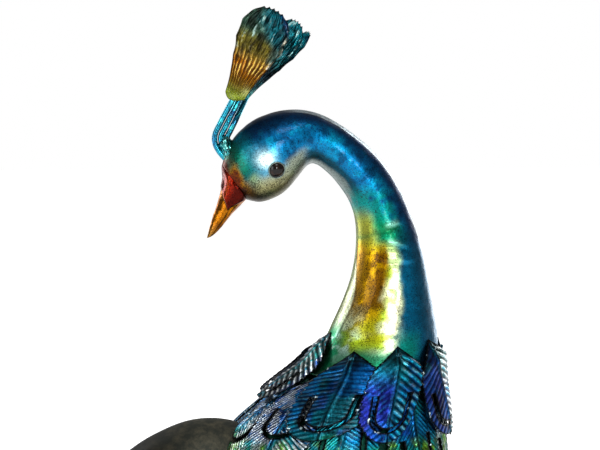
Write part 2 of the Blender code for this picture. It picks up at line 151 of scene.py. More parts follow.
def new_material(name):
    """Empty material, its tree and its surface socket."""
    made = bpy.data.materials.new(name)
    made.use_nodes = True
    tree = made.node_tree
    tree.nodes.clear()
    output = tree.nodes.new("ShaderNodeOutputMaterial")
    return made, tree, output.inputs["Surface"]


def principled(tree, surface, inputs):
    """Adds the one shader of a material and links it to the surface."""
    shader = add(tree, "ShaderNodeBsdfPrincipled", inputs)
    tree.links.new(shader.outputs[0], surface)


def noise(tree, size, detail, roughness=0.5):
    """Noise in an object's own space, with clouds of a size in metres."""
    place = add(tree, "ShaderNodeTexCoord")
    made = add(tree, "ShaderNodeTexNoise", {
        "Vector": place.outputs["Object"], "Scale": 1 / size, "Detail": detail, "Roughness": roughness,
    })
    return made.outputs["Fac"]


def remap(tree, value, low=0.0, high=1.0, to_low=0.0, to_high=1.0):
    """Carries a value over from one range to another."""
    made = add(tree, "ShaderNodeMapRange", {
        "Value": value, "From Min": low, "From Max": high, "To Min": to_low, "To Max": to_high,
    })
    return made.outputs[0]


def times_plus(tree, value, factor, more):
    """A value times a factor, plus another value."""
    made = add(tree, "ShaderNodeMath", {0: value, 1: factor, 2: more}, operation="MULTIPLY_ADD")
    return made.outputs[0]


def mix(tree, share, first, second, how="MIX"):
    """Mixes a second colour into a first by its share."""
    inputs = {"Factor": share, "A": first, "B": second}
    return add(tree, "ShaderNodeMix", inputs, data_type="RGBA", blend_type=how).outputs["Result"]


def bumped(tree, height, strength, distance):
    """Normal of a surface that a height raises by up to a distance."""
    made = add(tree, "ShaderNodeBump", {"Height": height, "Strength": strength, "Distance": distance})
    return made.outputs["Normal"]


# %% [markdown]
# The room itself is the world. The camera sees it pure white, and the metal sees it a little
# darker, so that the soft boxes stand out in the reflections.

# %% World and floor
ROOM_LIGHT = 0.3
world = bpy.data.worlds.new("white_room")
scene.world = world
world.use_nodes = True
world.node_tree.nodes.clear()
path = add(world.node_tree, "ShaderNodeLightPath")
room_strength = remap(world.node_tree, path.outputs["Is Camera Ray"], to_low=ROOM_LIGHT)
room = add(world.node_tree, "ShaderNodeBackground", {"Color": (1, 1, 1, 1), "Strength": room_strength})
add(world.node_tree, "ShaderNodeOutputWorld", {"Surface": room.outputs[0]})

floor_finish, tree, surface = new_material("pale_studio_floor")
principled(tree, surface, {
    "Base Color": (0.94, 0.94, 0.94, 1),
    "Roughness": 0.8,
    "Emission Color": (1, 1, 1, 1),
    "Emission Strength": 0.75,
})
FLOOR_REACH = 9.0
floor_mesh = bpy.data.meshes.new("floor")
floor_corners = [(x * FLOOR_REACH, y * FLOOR_REACH, 0) for x, y in ((-1, -1), (1, -1), (1, 1), (-1, 1))]
floor_mesh.from_pydata(floor_corners, [], [(0, 1, 2, 3)])
floor_mesh.materials.append(floor_finish)
floor = bpy.data.objects.new("floor", floor_mesh)
scene.collection.objects.link(floor)

# %% [markdown]
# Hand-sprayed lacquer is never even. A smooth random field, worked out at any point in space,
# breaks up each colour and gives the pressed sheet its shallow dents.

# %% Random field


def field(points, cell, seed):
    """Smooth noise from 0 to 1: hashed values at the corners of cubes of size cell, blended between."""
    place = np.asarray(points) / cell + 100.5
    corner = np.floor(place).astype(np.int64)
    inside = place - corner
    blend = inside * inside * (3 - 2 * inside)
    total = np.zeros(place.shape[:-1])
    for step in np.ndindex(2, 2, 2):
        at = corner + np.array(step)
        mixed = at[..., 0] * 73856093 ^ at[..., 1] * 19349663 ^ at[..., 2] * 83492791 ^ seed * 40503
        mixed = (mixed ^ (mixed >> 13)) * 1274126177 & 0x7FFFFFFF
        value = ((mixed ^ (mixed >> 15)) & 0xFFFF) / 0xFFFF
        total += value * np.prod(np.where(step, blend, 1 - blend), axis=-1)
    return total


def rough_field(points, cell, seed):
    """Three sizes of the smooth field added up, each half the size and half the strength of the last."""
    parts = [field(points, cell / 2**i, seed + i) / 2**i for i in range(3)]
    return sum(parts) / 1.75


def ramp(value, low, high):
    """Smooth step from 0 at low to 1 at high."""
    t = np.clip((value - low) / (high - low), 0, 1)
    return t * t * (3 - 2 * t)


def bump(value, middle, width):
    """Bell from 0 to 1: e to the minus square of the distance from the middle over the width."""
    return np.exp(-(((value - middle) / width) ** 2))


def paint(under, colour, amount):
    """Sprays a screen colour over what is there, by an amount from 0 to 1 at each point."""
    share = np.clip(amount, 0, 1)[..., None]
    return under * (1 - share) + linear(colour) * share


def spray(under, layers):
    """Sprays several screen colours one after another, each given with its amount."""
    for colour, amount in layers:
        under = paint(under, colour, amount)
    return under


def base_coat(colour, grid):
    """The first coat: one screen colour at every point of a grid."""
    return np.broadcast_to(linear(colour), grid.shape)


# %% [markdown]
# Every new surface is a grid of points. Quads join neighbours, a tube's last column joins its
# first, and a pole closes each end. The volume's sign tells whether the faces point outwards.

# %% Mesh from arrays


def grid_faces(rows, columns, closed):
    """Quads between neighbours on a grid, numbered row by row."""
    last = columns if closed else columns - 1
    row, column = np.meshgrid(np.arange(rows - 1), np.arange(last), indexing="ij")
    low = row * columns
    after = (column + 1) % columns
    quads = np.stack([low + column, low + after, low + columns + after, low + columns + column], axis=-1)
    return quads.reshape(-1, 4)


def volume(points, faces):
    """Signed volume of a closed mesh: each face's fan of triangles against the origin."""
    total = 0.0
    for size in sorted({len(face) for face in faces}):
        block = np.array([face for face in faces if len(face) == size])
        for i in range(1, size - 1):
            a, b, c = points[block[:, 0]], points[block[:, i]], points[block[:, i + 1]]
            total += np.einsum("ij,ij->", a, np.cross(b, c)) / 6
    return total


def put(name, points, faces, finish, nodes=(), tint=None, grime=0.0, edge=0.0):
    """Makes one finished piece: mesh, paint attributes, material, and its place in the frame."""
    points = np.asarray(points, float)
    faces = [tuple(face) for face in faces]
    if volume(points, faces) < 0:
        faces = [face[::-1] for face in faces]
    mesh = bpy.data.meshes.new(name)
    mesh.from_pydata(points.tolist(), [], faces)
    if tint is not None:
        layer = mesh.color_attributes.new("tint", "FLOAT_COLOR", "POINT")
        layer.data.foreach_set("color", np.column_stack([tint, np.ones(len(tint))]).ravel())
        for field_name, values in (("grime", grime), ("edge", edge)):
            layer = mesh.attributes.new(field_name, "FLOAT", "POINT")
            layer.data.foreach_set("value", np.zeros(len(points)) + values)
    mesh.shade_smooth()
    mesh.materials.append(finish)
    made = bpy.data.objects.new(name, mesh)
    scene.collection.objects.link(made)
    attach(made, "root")
    if nodes:
        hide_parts(*nodes)
    return made


def with_poles(values):
    """A grid's values in a row, with the two poles given the mean of their end rows."""
    rows = values.reshape(values.shape[0] * values.shape[1], -1)
    ends = np.stack([values[0].mean(axis=0), values[-1].mean(axis=0)]).reshape(2, -1)
    return np.vstack([rows, ends]).squeeze()


def tube(rings):
    """Points and faces of a closed tube over rings of points, with a pole in the middle of each end."""
    rows, columns = rings.shape[:2]
    faces = grid_faces(rows, columns, True).tolist()
    start, end = rows * columns, rows * columns + 1
    last = (rows - 1) * columns
    faces += [(start, (i + 1) % columns, i) for i in range(columns)]
    faces += [(end, last + i, last + (i + 1) % columns) for i in range(columns)]
    return with_poles(rings), faces


def full_turn(steps):
    """Angles once round a circle, without the last that would meet the first."""
    return np.linspace(0, 2 * math.pi, steps, endpoint=False)


def smooth(keys, values, at):
    """Cubic curve through the rows of values at the rising keys, read at the given places."""
    keys = np.asarray(keys, float)
    values = np.asarray(values, float)
    at = np.atleast_1d(np.asarray(at, float))
    slopes = np.gradient(values, keys, axis=0)
    index = np.clip(np.searchsorted(keys, at, side="right") - 1, 0, len(keys) - 2)
    span = keys[index + 1] - keys[index]
    t = (at - keys[index]) / span
    if values.ndim > 1:
        t = t[:, None]
        span = span[:, None]
    start = (1 + 2 * t) * (1 - t) ** 2 * values[index]
    end = t * t * (3 - 2 * t) * values[index + 1]
    leave = t * (1 - t) ** 2 * span * slopes[index]
    arrive = t * t * (t - 1) * span * slopes[index + 1]
    return start + end + leave + arrive


def outward_normals(grid):
    """Unit normals of a tube, from the steps to the neighbours both ways, turned away from its middle."""
    across = (np.roll(grid, -1, axis=1) - np.roll(grid, 1, axis=1)) / 2
    normal = np.cross(across, np.gradient(grid, axis=0))
    normal = normal / np.maximum(np.linalg.norm(normal, axis=-1, keepdims=True), 1e-12)
    from_middle = grid - grid.mean(axis=1, keepdims=True)
    return normal if np.sum(normal * from_middle) > 0 else -normal


# %% [markdown]
# Lacquered steel is bright metal under a clear tinted film. The tint is the metal's own colour
# in the shader, with painted highlights and painted shade sprayed into it on the neck, beak, fans
# and feathers. The clear coat above it gives the sharp white highlights, and dried specks of dark
# pigment lie in between. Cut edges are left black.

# %% Lacquered steel


def lacquered_steel(name, roughness, speck, specks, dents, dent_size, coat=0.15):
    """Tinted metal with specks of pigment. speck and dent_size are sizes in metres, specks their share."""
    made, tree, surface = new_material(name)
    tint = add(tree, "ShaderNodeAttribute", attribute_name="tint").outputs["Color"]
    grime = add(tree, "ShaderNodeAttribute", attribute_name="grime").outputs["Fac"]
    edge = add(tree, "ShaderNodeAttribute", attribute_name="edge").outputs["Fac"]
    fine = noise(tree, speck, 3.0, 0.6)
    clouds = noise(tree, speck * 8, 4.0, 0.6)
    gathered = times_plus(tree, clouds, 0.35, fine)
    raised = times_plus(tree, grime, 0.1, gathered)
    specked = remap(tree, raised, 0.84 - specks * 0.06, 0.92 - specks * 0.06, 0.0, 0.9)
    toned = mix(tree, 1.0, tint, remap(tree, gathered, 0.5, 0.86, 0.3, 1.65), "MULTIPLY")
    spotted = mix(tree, specked, toned, rgba("#140f08"))
    dent = noise(tree, dent_size, 2.0)
    principled(tree, surface, {
        "Base Color": mix(tree, edge, spotted, rgba("#08090c")),
        "Metallic": 1.0,
        "Roughness": remap(tree, fine, to_low=roughness * 0.75, to_high=roughness * 1.25),
        "Coat Weight": coat,
        "Coat Roughness": 0.12,
        "Normal": bumped(tree, dent, dents, dent_size * 0.3),
    })
    return made


neck_finish = lacquered_steel("lacquered_steel_neck", 0.38, 1.0 * MM, 1.0, 0.25, 5 * MM, coat=0.1)
leaf_finish = lacquered_steel("lacquered_steel_leaf", 0.32, 0.9 * MM, 0.5, 0.35, 3 * MM, coat=0.05)
fan_finish = lacquered_steel("lacquered_steel_fan", 0.34, 0.8 * MM, 0.9, 0.35, 2 * MM)
rod_finish = lacquered_steel("lacquered_steel_rod", 0.2, 1.2 * MM, 0.0, 0.1, 3 * MM, coat=0.4)
beak_finish = lacquered_steel("lacquered_steel_beak", 0.24, 0.9 * MM, 0.9, 0.6, 3 * MM, coat=0.05)

# %% [markdown]
# The head and neck are one bent tube. It is a loft: at each station an oval stands between a
# point on the nape and a point on the throat. Lower down the stations are level cuts of the
# shoulders, so the tube runs into the body without a step.

# %% Stations of the bird
# Nape x and z, throat x and z, half width across, in millimetres
HEAD_AND_NECK = [
    (-49.5, 281.7, -27.9, 251.1, 13.5),
    (-45.0, 296.5, -15.5, 249.0, 20.0),
    (-35.5, 310.0, -2.5, 252.6, 24.5),
    (-22.0, 321.0, 9.5, 260.6, 26.5),
    (-6.5, 327.6, 18.5, 271.6, 25.5),
    (9.5, 330.3, 25.0, 280.0, 23.0),
    (25.2, 329.8, 30.6, 283.6, 20.8),
    (40.5, 325.8, 35.6, 282.9, 19.6),
    (55.5, 318.0, 40.5, 280.0, 19.0),
    (70.0, 308.0, 47.0, 274.6, 19.0),
    (84.0, 296.4, 54.6, 266.4, 19.5),
    (97.0, 282.3, 61.8, 256.6, 20.0),
    (108.3, 265.8, 67.5, 246.2, 20.8),
    (118.0, 245.9, 71.1, 234.2, 22.0),
    (126.0, 225.5, 72.7, 220.5, 23.6),
]
# Height, back x, chest x and half depth
LEVELS = [
    (204.0, 72.2, 132.6, 26.0),
    (182.7, 68.4, 137.2, 29.0),
    (162.0, 61.6, 141.0, 32.5),
    (142.0, 52.6, 144.8, 37.5),
    (119.0, 41.0, 147.5, 44.5),
    (95.4, 22.5, 147.6, 53.0),
    (79.2, 3.5, 148.0, 58.5),
    (61.2, -18.5, 149.0, 64.0),
    (43.2, -36.0, 149.5, 68.5),
    (25.2, -48.5, 150.0, 72.0),
    (0.0, -61.0, 150.5, 76.0),
]
NECK_FOOT = 95.4
BODY_SQUARENESS = 0.7

level_rows = [(chest, z, back, z, depth) for z, back, chest, depth in LEVELS if z >= NECK_FOOT]
stations = np.array(HEAD_AND_NECK + level_rows)
print("neck stations:", len(stations))


def oval_ring(row, angle, grow=0.0):
    """Oval on one station: centre, plus its reach times the cosine, plus its width times the sine."""
    nape = np.stack([row[..., 0], row[..., 0] * 0, row[..., 1]], axis=-1) * MM
    throat = np.stack([row[..., 2], row[..., 0] * 0, row[..., 3]], axis=-1) * MM
    reach = (nape - throat) / 2
    reach = reach * (1 + grow / np.linalg.norm(reach, axis=-1, keepdims=True))
    across = np.stack([row[..., 0] * 0, row[..., 4] * MM + grow, row[..., 0] * 0], axis=-1)
    cosine = np.cos(angle)[..., None]
    return (nape + throat) / 2 + reach * cosine + across * np.sin(angle)[..., None]


# %% [markdown]
# Bending the tube left three creases at the top of the straight neck, and the two pressed halves
# are welded along the nape and the throat. Both are pushed into the surface along its normals,
# with the shallow dents of the press.

# %% Neck surface
NECK_ROWS = 300
NECK_COLUMNS = 176
WRINKLES = [(0.2235, 1.3, 0.3), (0.2072, 1.4, -0.1), (0.1935, 1.0, -0.1)]  # height in m, depth in mm, slant
WRINKLE_WIDTH = 2.2 * MM
# widths of the painted shade in each crease and of the painted highlight on its crest
CREASE_SHADE_WIDTH = 2.0 * MM
CREST_HIGHLIGHT_WIDTH = 2.4 * MM
SEAM_WIDTH = 1.5 * MM
SEAM_HEIGHT = 0.7 * MM
DENT_CELL = 13 * MM
DENT_DEPTH = 0.5 * MM

place_along = np.linspace(0, len(stations) - 1, NECK_ROWS)
rows_along = smooth(np.arange(len(stations)), stations, place_along)
along, around = np.meshgrid(place_along, full_turn(NECK_COLUMNS), indexing="ij")
neck = oval_ring(np.repeat(rows_along[:, None, :], NECK_COLUMNS, axis=1), around)
nape_side = np.cos(around)
flank = np.sin(around)
neck_normals = outward_normals(neck)
relief = (rough_field(neck, DENT_CELL, 3) - 0.5) * 2 * DENT_DEPTH
on_straight = ramp(along, 12, 13)


def crease_line(points, crease_height, slant):
    """Height of a crease at each point: it slants along x and wanders with the smooth field."""
    return crease_height + slant * (points[..., 0] - 0.1) + 0.004 * (field(points, 0.03, 11) - 0.5)


for crease_height, depth, slant in WRINKLES:
    line = crease_line(neck, crease_height, slant)
    strength = ramp(nape_side, -0.75, 0.1) * ramp(nape_side, 0.6, 0.2) * on_straight
    relief -= depth * MM * bump(neck[..., 2], line, WRINKLE_WIDTH) * strength
    relief += 0.5 * depth * MM * bump(neck[..., 2], line + 2 * WRINKLE_WIDTH, WRINKLE_WIDTH) * strength
half_width = np.repeat(rows_along[:, None, 4], NECK_COLUMNS, axis=1) * MM
off_seam = np.abs(flank) * half_width
relief += SEAM_HEIGHT * bump(off_seam, 0, SEAM_WIDTH) * ramp(along, 3, 5)
neck = neck + neck_normals * relief[..., None]

# %% [markdown]
# The lacquer is sprayed on in clouds: navy on the crown and nape, cyan to silver over the cheek,
# teal at the creases, old gold with brown specks down the front of the neck, and green where it
# runs under the cape. A painted highlight sits on the side of the head.

# %% Neck paint
height = neck[..., 2]
patches = rough_field(neck, 0.022, 31)
side = nape_side + 0.3 * (rough_field(neck, 0.016, 21) - 0.5)
nape_half = ramp(nape_side, 0.0, 0.3)
throat_half = ramp(nape_side, 0.0, -0.3)
low_neck = ramp(along, 12, 13.5)
spots = rough_field(neck, 0.0075, 33)
on_head = ramp(along, 6.0, 4.4)
# painted highlight on the side of the head: a cyan ring round a near white patch
highlight_halo = bump(along, 2.6, 0.6) * bump(nape_side + 0.12 * (along - 2.5), 0.02, 0.32)
painted_sheen = bump(along, 2.5, 0.42) * bump(nape_side + 0.12 * (along - 2.5), 0.03, 0.2)
on_arch = ramp(along, 4.5, 6.0) * ramp(along, 13.2, 11.5)
layers = [
    ("#055a8c", ramp(side, 0.0, 0.35)),
    ("#053560", ramp(side, 0.35, 0.75)),
    ("#0d2440", ramp(side, 0.8, 1.0)),
    ("#0486b4", ramp(patches, 0.5, 0.68) * ramp(side, 0.75, 0.3) * 0.8),
    ("#043a60", ramp(spots, 0.5, 0.34) * 0.75),
    ("#0aa0c8", ramp(spots, 0.58, 0.74) * ramp(side, 0.8, 0.3) * 0.55),
    ("#a8b4a0", on_head * ramp(side, -0.2, -0.5)),
    ("#b4ae78", on_head * ramp(side, -0.35, -0.65) * ramp(along, 4.2, 2.0)),
    ("#0a7050", ramp(along, 2.2, 1.2) * ramp(side, -0.25, 0.2)),
    ("#a8c060", bump(along, 1.3, 0.5) * bump(side, -0.15, 0.3) * 0.8),
    ("#b0841c", ramp(along, 1.25, 0.5) * ramp(side, 0.75, 0.3)),
    ("#6a4e1e", ramp(along, 1.3, 0.7) * ramp(side, -0.3, -0.6) * 0.9),
    ("#046070", on_head * ramp(along, 2.7, 1.9) * ramp(side, -0.35, -0.05)),
    ("#0a7050", ramp(along, 2.0, 1.1) * ramp(side, -0.3, 0.1) * 0.8),
    ("#a8740c", ramp(along + 0.8 * (spots - 0.5), 1.0, 0.45) * ramp(side, 0.8, 0.4)),
    ("#6a2606", ramp(along + 1.2 * (spots - 0.5), 0.7, 0.25)),
    ("#4e4c36", on_head * ramp(side, -0.62, -0.85) * 0.8),
    # the painted highlight on the side of the head, cyan round a near white middle
    ("#20b4d4", highlight_halo * 0.8),
    ("#e8ffff", np.minimum(painted_sheen * 1.3, 1)),
    ("#0a4254", on_arch * ramp(side, -0.4, -0.65)),
    ("#6e7c7a", on_arch * ramp(side, -0.74, -0.9)),
]

# %% [markdown]
# Below the bend the blue turns to teal and green. Each crease has a painted highlight on its
# crest above painted shade in its green hollow.

# %% Paint at the creases
straight = ramp(along, 10.0, 12.0)
green = straight * ramp(height, 0.234, 0.226) * ramp(height, 0.19, 0.2) * bump(side, 0.0, 0.4)
creased = straight * ramp(side, -0.25, 0.0) * ramp(side, 0.4, 0.15)
layers += [
    ("#05807c", straight * ramp(height, 0.268, 0.25) * ramp(side, 0.55, 0.1) * ramp(spots, 0.3, 0.5)),
    ("#0a8a5e", straight * ramp(height, 0.246, 0.226) * ramp(side, 0.15, -0.3)),
    ("#8a8f30", straight * ramp(height, 0.248, 0.228) * ramp(side, -0.35, -0.7)),
    ("#0c7a3c", green * ramp(patches, 0.35, 0.6) * 0.8),
]
for crease_height, _, slant in WRINKLES:
    crest_line = crease_line(neck, crease_height, slant)
    # painted highlight on each crease's crest, and painted shade in its hollow
    crest_highlight = bump(height, crest_line + 2 * WRINKLE_WIDTH, CREST_HIGHLIGHT_WIDTH) * creased
    layers += [
        ("#a0ecd0", crest_highlight * 0.6),
        ("#0a5a2c", bump(height, crest_line, CREASE_SHADE_WIDTH) * straight * ramp(side, 0.6, 0.2) * 0.5),
    ]

# %% [markdown]
# Further down, the front is old gold with brown clouds. A pale band, a painted highlight down
# the front, parts it from the teal of the nape side.

# %% Gold paint
lower = ramp(height, 0.217, 0.2) * ramp(along, 11, 12.5)
gold = lower * ramp(side, 0.06, -0.1) * ramp(height, 0.112, 0.128)
brown = ramp(patches + 0.5 * (spots - 0.5), 0.42, 0.53) * bump(side, -0.45, 0.4)
brown = brown * ramp(height, 0.128, 0.146)
# painted highlight: a pale band down the front of the neck, with a ragged edge
highlight_band_from = 0.02 + 0.6 * (rough_field(neck, 0.012, 35) - 0.5)
highlight_band = lower * ramp(side, highlight_band_from - 0.3, highlight_band_from - 0.02) * ramp(side, 0.26, 0.04)
highlight_band = highlight_band * ramp(height, 0.12, 0.132)
layers += [
    ("#066c94", lower * ramp(side, -0.1, 0.3)),
    ("#04506e", lower * ramp(side, 0.35, 0.7)),
    ("#a4cc24", gold),
    ("#e4b000", gold * ramp(height, 0.128, 0.15) * ramp(side, -0.12, -0.34)),
    ("#d09c20", gold * ramp(side, -0.72, -0.92) * ramp(height, 0.13, 0.16)),
    ("#6a3c02", gold * brown * 0.9),
    ("#c4c41c", gold * bump(height, 0.134, 0.014) * bump(side, -0.3, 0.3)),
    ("#e4f4c0", gold * bump(height, 0.136, 0.016) * bump(side, -0.78, 0.2) * ramp(spots, 0.4, 0.55)),
    # painted highlight at the lower end of the pale band
    ("#e8f4d0",
     bump(height, 0.124, 0.01) * on_straight * bump(side, -0.05, 0.22) * ramp(spots, 0.36, 0.56)),
    # the pale band's painted highlight, near white in its middle
    ("#c8e49c", highlight_band * (0.45 + 0.45 * ramp(spots, 0.38, 0.52))),
    ("#f4f0cc", highlight_band * highlight_band * ramp(height, 0.2, 0.17) * ramp(spots, 0.3, 0.46) * 0.9),
]

# %% [markdown]
# At the foot the paint turns emerald. The strips along the nape and the throat, where the two
# pressed halves meet, are nearly bare metal between dark lines, painted pale also as a painted
# rim light along those edges. Last, grime says where specks of dried pigment gather.

# %% Foot, strips and grime
NAPE_STRIP = 9.2 * MM
SEAM_STRIP = 4.6 * MM
THROAT_STRIP = 18 * MM
STRIP_EDGE = 0.8 * MM
foot = ramp(height, 0.142, 0.122) * on_straight
nape_strip_and_rim_light = ramp(off_seam, NAPE_STRIP, NAPE_STRIP - STRIP_EDGE) * nape_half * ramp(along, 4.6, 5.6)
nape_line = bump(off_seam, NAPE_STRIP + 0.6 * MM, STRIP_EDGE) * nape_half * ramp(along, 5.5, 8)
throat_reach = THROAT_STRIP * ramp(height, 0.222, 0.15) * on_straight
throat_strip_and_rim_light = ramp(off_seam, throat_reach, throat_reach - 1.0 * MM) * throat_half
throat_line = bump(off_seam, throat_reach + 0.4 * MM, STRIP_EDGE) * throat_half * low_neck
seam_line = ramp(off_seam, SEAM_STRIP, SEAM_STRIP - STRIP_EDGE) * throat_half * low_neck
layers += [
    ("#0a7a4c", ramp(height, 0.15, 0.138) * on_straight * ramp(side, -0.8, -0.92)),
    ("#128a5e", foot * ramp(side, -0.6, -0.85)),
    ("#c4f0e0", foot * ramp(side, -0.45, -0.65) * ramp(spots, 0.48, 0.6) * 0.85),
    ("#0a9a8c", foot * ramp(side, 0.05, 0.2) * ramp(side, 0.6, 0.3)),
    ("#0c7a50", ramp(height, 0.121, 0.112) * on_straight * ramp(side, 0.5, 0.2) * 0.8),
    # pale strips: bare metal at the seams, and also a painted rim light along the nape and throat
    ("#b4c2c8", nape_strip_and_rim_light * 0.92),
    ("#b4c0a4", throat_strip_and_rim_light * 0.9 * low_neck * ramp(height, 0.13, 0.144)),
    ("#0e2028", nape_line * 0.85),
    ("#24301a", throat_line * 0.8),
    ("#4a5628", seam_line * 0.9),
]
tint = spray(base_coat("#046ca0", neck), layers)
grime = 0.15 + 0.65 * gold * ramp(side, 0.0, -0.2) + 0.5 * on_arch * ramp(side, 0.3, -0.6)
grime = grime + 1.1 * on_head * ramp(side, -0.15, -0.5) - 0.1 * foot - 0.5 * highlight_band - 0.5 * painted_sheen
grime = grime + 1.2 * ramp(along, 1.7, 0.9) + 0.4 * straight * ramp(side, 0.2, -0.5)
grime = grime - 0.6 * nape_strip_and_rim_light - 0.6 * throat_strip_and_rim_light

points, faces = tube(neck)
put("neck_skin", points, faces, neck_finish, ["neck_and_head"],
    tint=with_poles(tint), grime=with_poles(grime))
print("neck faces:", len(faces))

# %% [markdown]
# The body under the cape is a plain shell. Between the feathers it shows the deep green lacquer
# that was sprayed through them. Its back rises behind the shoulders as a low hump, and the
# mottled satin paint there shows brown beneath, under painted shade that deepens towards its far end.

# %% Body surface


def level(z):
    """Centre x, half length, half depth and oval exponent of the body at a height, in metres."""
    rows = np.array(LEVELS[::-1])
    millimetres = np.clip(np.asarray(z, float) / MM, rows[0, 0], rows[-1, 0])
    back, chest, depth = np.moveaxis(smooth(rows[:, 0], rows[:, 1:], millimetres.ravel()), -1, 0)
    exponent = 2 + BODY_SQUARENESS * np.clip(1 - millimetres.ravel() / NECK_FOOT, 0, 1)
    found = ((back + chest) / 2 * MM, (chest - back) / 2 * MM, depth * MM, exponent)
    return [part.reshape(millimetres.shape) for part in found]


def body_point(angle, z):
    """Point on the shoulders: a superellipse round the level's centre, at an angle from the chest."""
    centre, half_length, half_depth, exponent = level(z)
    power = 2 / exponent
    x = np.sign(np.cos(angle)) * np.abs(np.cos(angle)) ** power * half_length
    y = np.sign(np.sin(angle)) * np.abs(np.sin(angle)) ** power * half_depth
    return np.stack([centre + x, y, np.broadcast_to(z, np.shape(x))], axis=-1)


def body_normal(angle, z):
    """Outward unit normal of the shoulders, from small steps round and up."""
    turn_step = 0.002
    rise = 0.2 * MM
    round_it = body_point(angle + turn_step, z) - body_point(angle - turn_step, z)
    up_it = body_point(angle, z + rise) - body_point(angle, z - rise)
    normal = np.cross(round_it, up_it)
    return normal / np.linalg.norm(normal, axis=-1, keepdims=True)


BACK_OFFSET = 6.0  # towards the far side
# x, height and half width
BACK = [
    (-153.0, 0.0, 0.0),
    (-150.5, 7.5, 13.0),
    (-144.0, 16.0, 22.5),
    (-133.0, 25.2, 30.5),
    (-121.0, 33.4, 35.5),
    (-107.0, 40.8, 39.0),
    (-79.0, 51.0, 42.0),
    (-58.0, 52.6, 40.0),
    (-42.0, 50.4, 36.0),
    (-20.0, 42.0, 31.0),
    (10.0, 24.0, 22.0),
]

dark_finish, tree, surface = new_material("satin_black_paint")
mottle = noise(tree, 9 * MM, 6.0, 0.7)
mottled = mix(tree, remap(tree, mottle, 0.42, 0.68), rgba("#343630"), rgba("#565244"))
place = add(tree, "ShaderNodeTexCoord")
axes = add(tree, "ShaderNodeSeparateXYZ", {"Vector": place.outputs["Object"]})
# painted shade: the hump grows darker towards its far end
painted_shade_to_back = remap(tree, axes.outputs["X"], -0.12, -0.07, 0.12)
principled(tree, surface, {
    "Base Color": mix(tree, 1.0, mottled, painted_shade_to_back, "MULTIPLY"),
    "Metallic": 0.5,
    "Roughness": 0.5,
    "Specular IOR Level": 0.1,
    "Normal": bumped(tree, mottle, 0.2, 0.5 * MM),
})

SHELL_ROWS = 60
SHELL_COLUMNS = 160
HUMP_ROWS = 90
HUMP_COLUMNS = 70
HUMP_CROWDING = 1.3  # draws its rows together towards the far end
body_heights = np.linspace(0, (NECK_FOOT - 0.3) * MM, SHELL_ROWS)
z_grid, turn_grid = np.meshgrid(body_heights, full_turn(SHELL_COLUMNS), indexing="ij")
points, faces = tube(body_point(turn_grid, z_grid))
put("shoulder_shell", points, faces, neck_finish, ["body_shell"],
    tint=base_coat("#0a4034", points), grime=0.9)

back_rows = np.array(BACK)
back_share = np.linspace(0.0, 1, HUMP_ROWS) ** HUMP_CROWDING
back_places = back_rows[0, 0] + (back_rows[-1, 0] - back_rows[0, 0]) * back_share
back_places[0] = back_rows[0, 0] + 0.4
arch = np.linspace(-math.pi / 2, math.pi / 2, HUMP_COLUMNS)
back_values = smooth(back_rows[:, 0], back_rows[:, 1:], back_places)
x_grid, arch_grid = np.meshgrid(back_places, arch, indexing="ij")
hump = np.stack([
    x_grid,
    np.sin(arch_grid) * np.maximum(back_values[:, 1:2], 0.5) + BACK_OFFSET,
    np.cos(arch_grid) * np.maximum(back_values[:, 0:1], 0.5),
], axis=-1) * MM
points, faces = tube(hump)
put("back_shell", points, faces, dark_finish)

# %% [markdown]
# The beak is a cone whose upper edge is sharper than its lower one. A red plate covers its root
# and runs down the ridge to a point, and a groove marks the mouth. The plate carries a painted
# highlight on its middle facet and painted shade above and below it.

# %% Beak
BEAK = [
    (-49.5, 281.7, -27.9, 251.1, 13.5),
    (-48.6, 270.5, -33.2, 245.6, 11.4),
    (-50.8, 259.0, -39.8, 239.0, 8.9),
    (-54.0, 247.5, -46.6, 230.6, 6.4),
    (-58.2, 235.0, -53.4, 223.0, 4.1),
    (-61.3, 224.5, -58.9, 218.4, 2.2),
    (-63.2, 216.8, -63.1, 216.7, 0.15),
]
BEAK_ROWS = 120
BEAK_COLUMNS = 96
BEAK_RIDGE = 0.22
TOUCH_GAP = 0.3 * MM
PLATE_RISE = 0.9 * MM
MOUTH_GROOVE = 0.9 * MM

beak_places = np.linspace(0, len(BEAK) - 1, BEAK_ROWS)
beak_rows = smooth(np.arange(len(BEAK)), BEAK, beak_places)
beak_rows[:, 4] = np.maximum(beak_rows[:, 4], 0.1)
beak_along, beak_around = np.meshgrid(beak_places, full_turn(BEAK_COLUMNS), indexing="ij")
beak_grid = oval_ring(np.repeat(beak_rows[:, None, :], BEAK_COLUMNS, axis=1), beak_around)
beak_grid[..., 1] *= 1 - BEAK_RIDGE * np.cos(beak_around)
beak_normals = outward_normals(beak_grid)
turned = np.minimum(beak_around, 2 * math.pi - beak_around)
plate_end = np.where(turned < 1.9, 1.7 + 0.36 * turned, 2.38 - 2.6 * (turned - 1.9))
on_plate = ramp(plate_end - beak_along, -0.05, 0.12)
mouth = bump(turned, 1.95 + 0.1 * beak_along, 0.1 + 0.03 * beak_along) * ramp(beak_along, 5.2, 3.5)
thin = ramp(beak_along, 6, 4.0)
facet = bump(turned, 1.15, 0.28) - 0.6 * bump(turned, 0.6, 0.25)
beak_relief = PLATE_RISE * on_plate - MOUTH_GROOVE * mouth * thin * ramp(beak_along, 1.4, 2.4)
beak_relief += 0.8 * MM * facet * on_plate * ramp(beak_along, 0.1, 0.9)
beak_relief += 0.35 * MM * (field(beak_grid, 4 * MM, 41) - 0.5) * thin
beak_grid = beak_grid + beak_normals * (beak_relief * ramp(beak_along, -0.1, 0.4))[..., None]
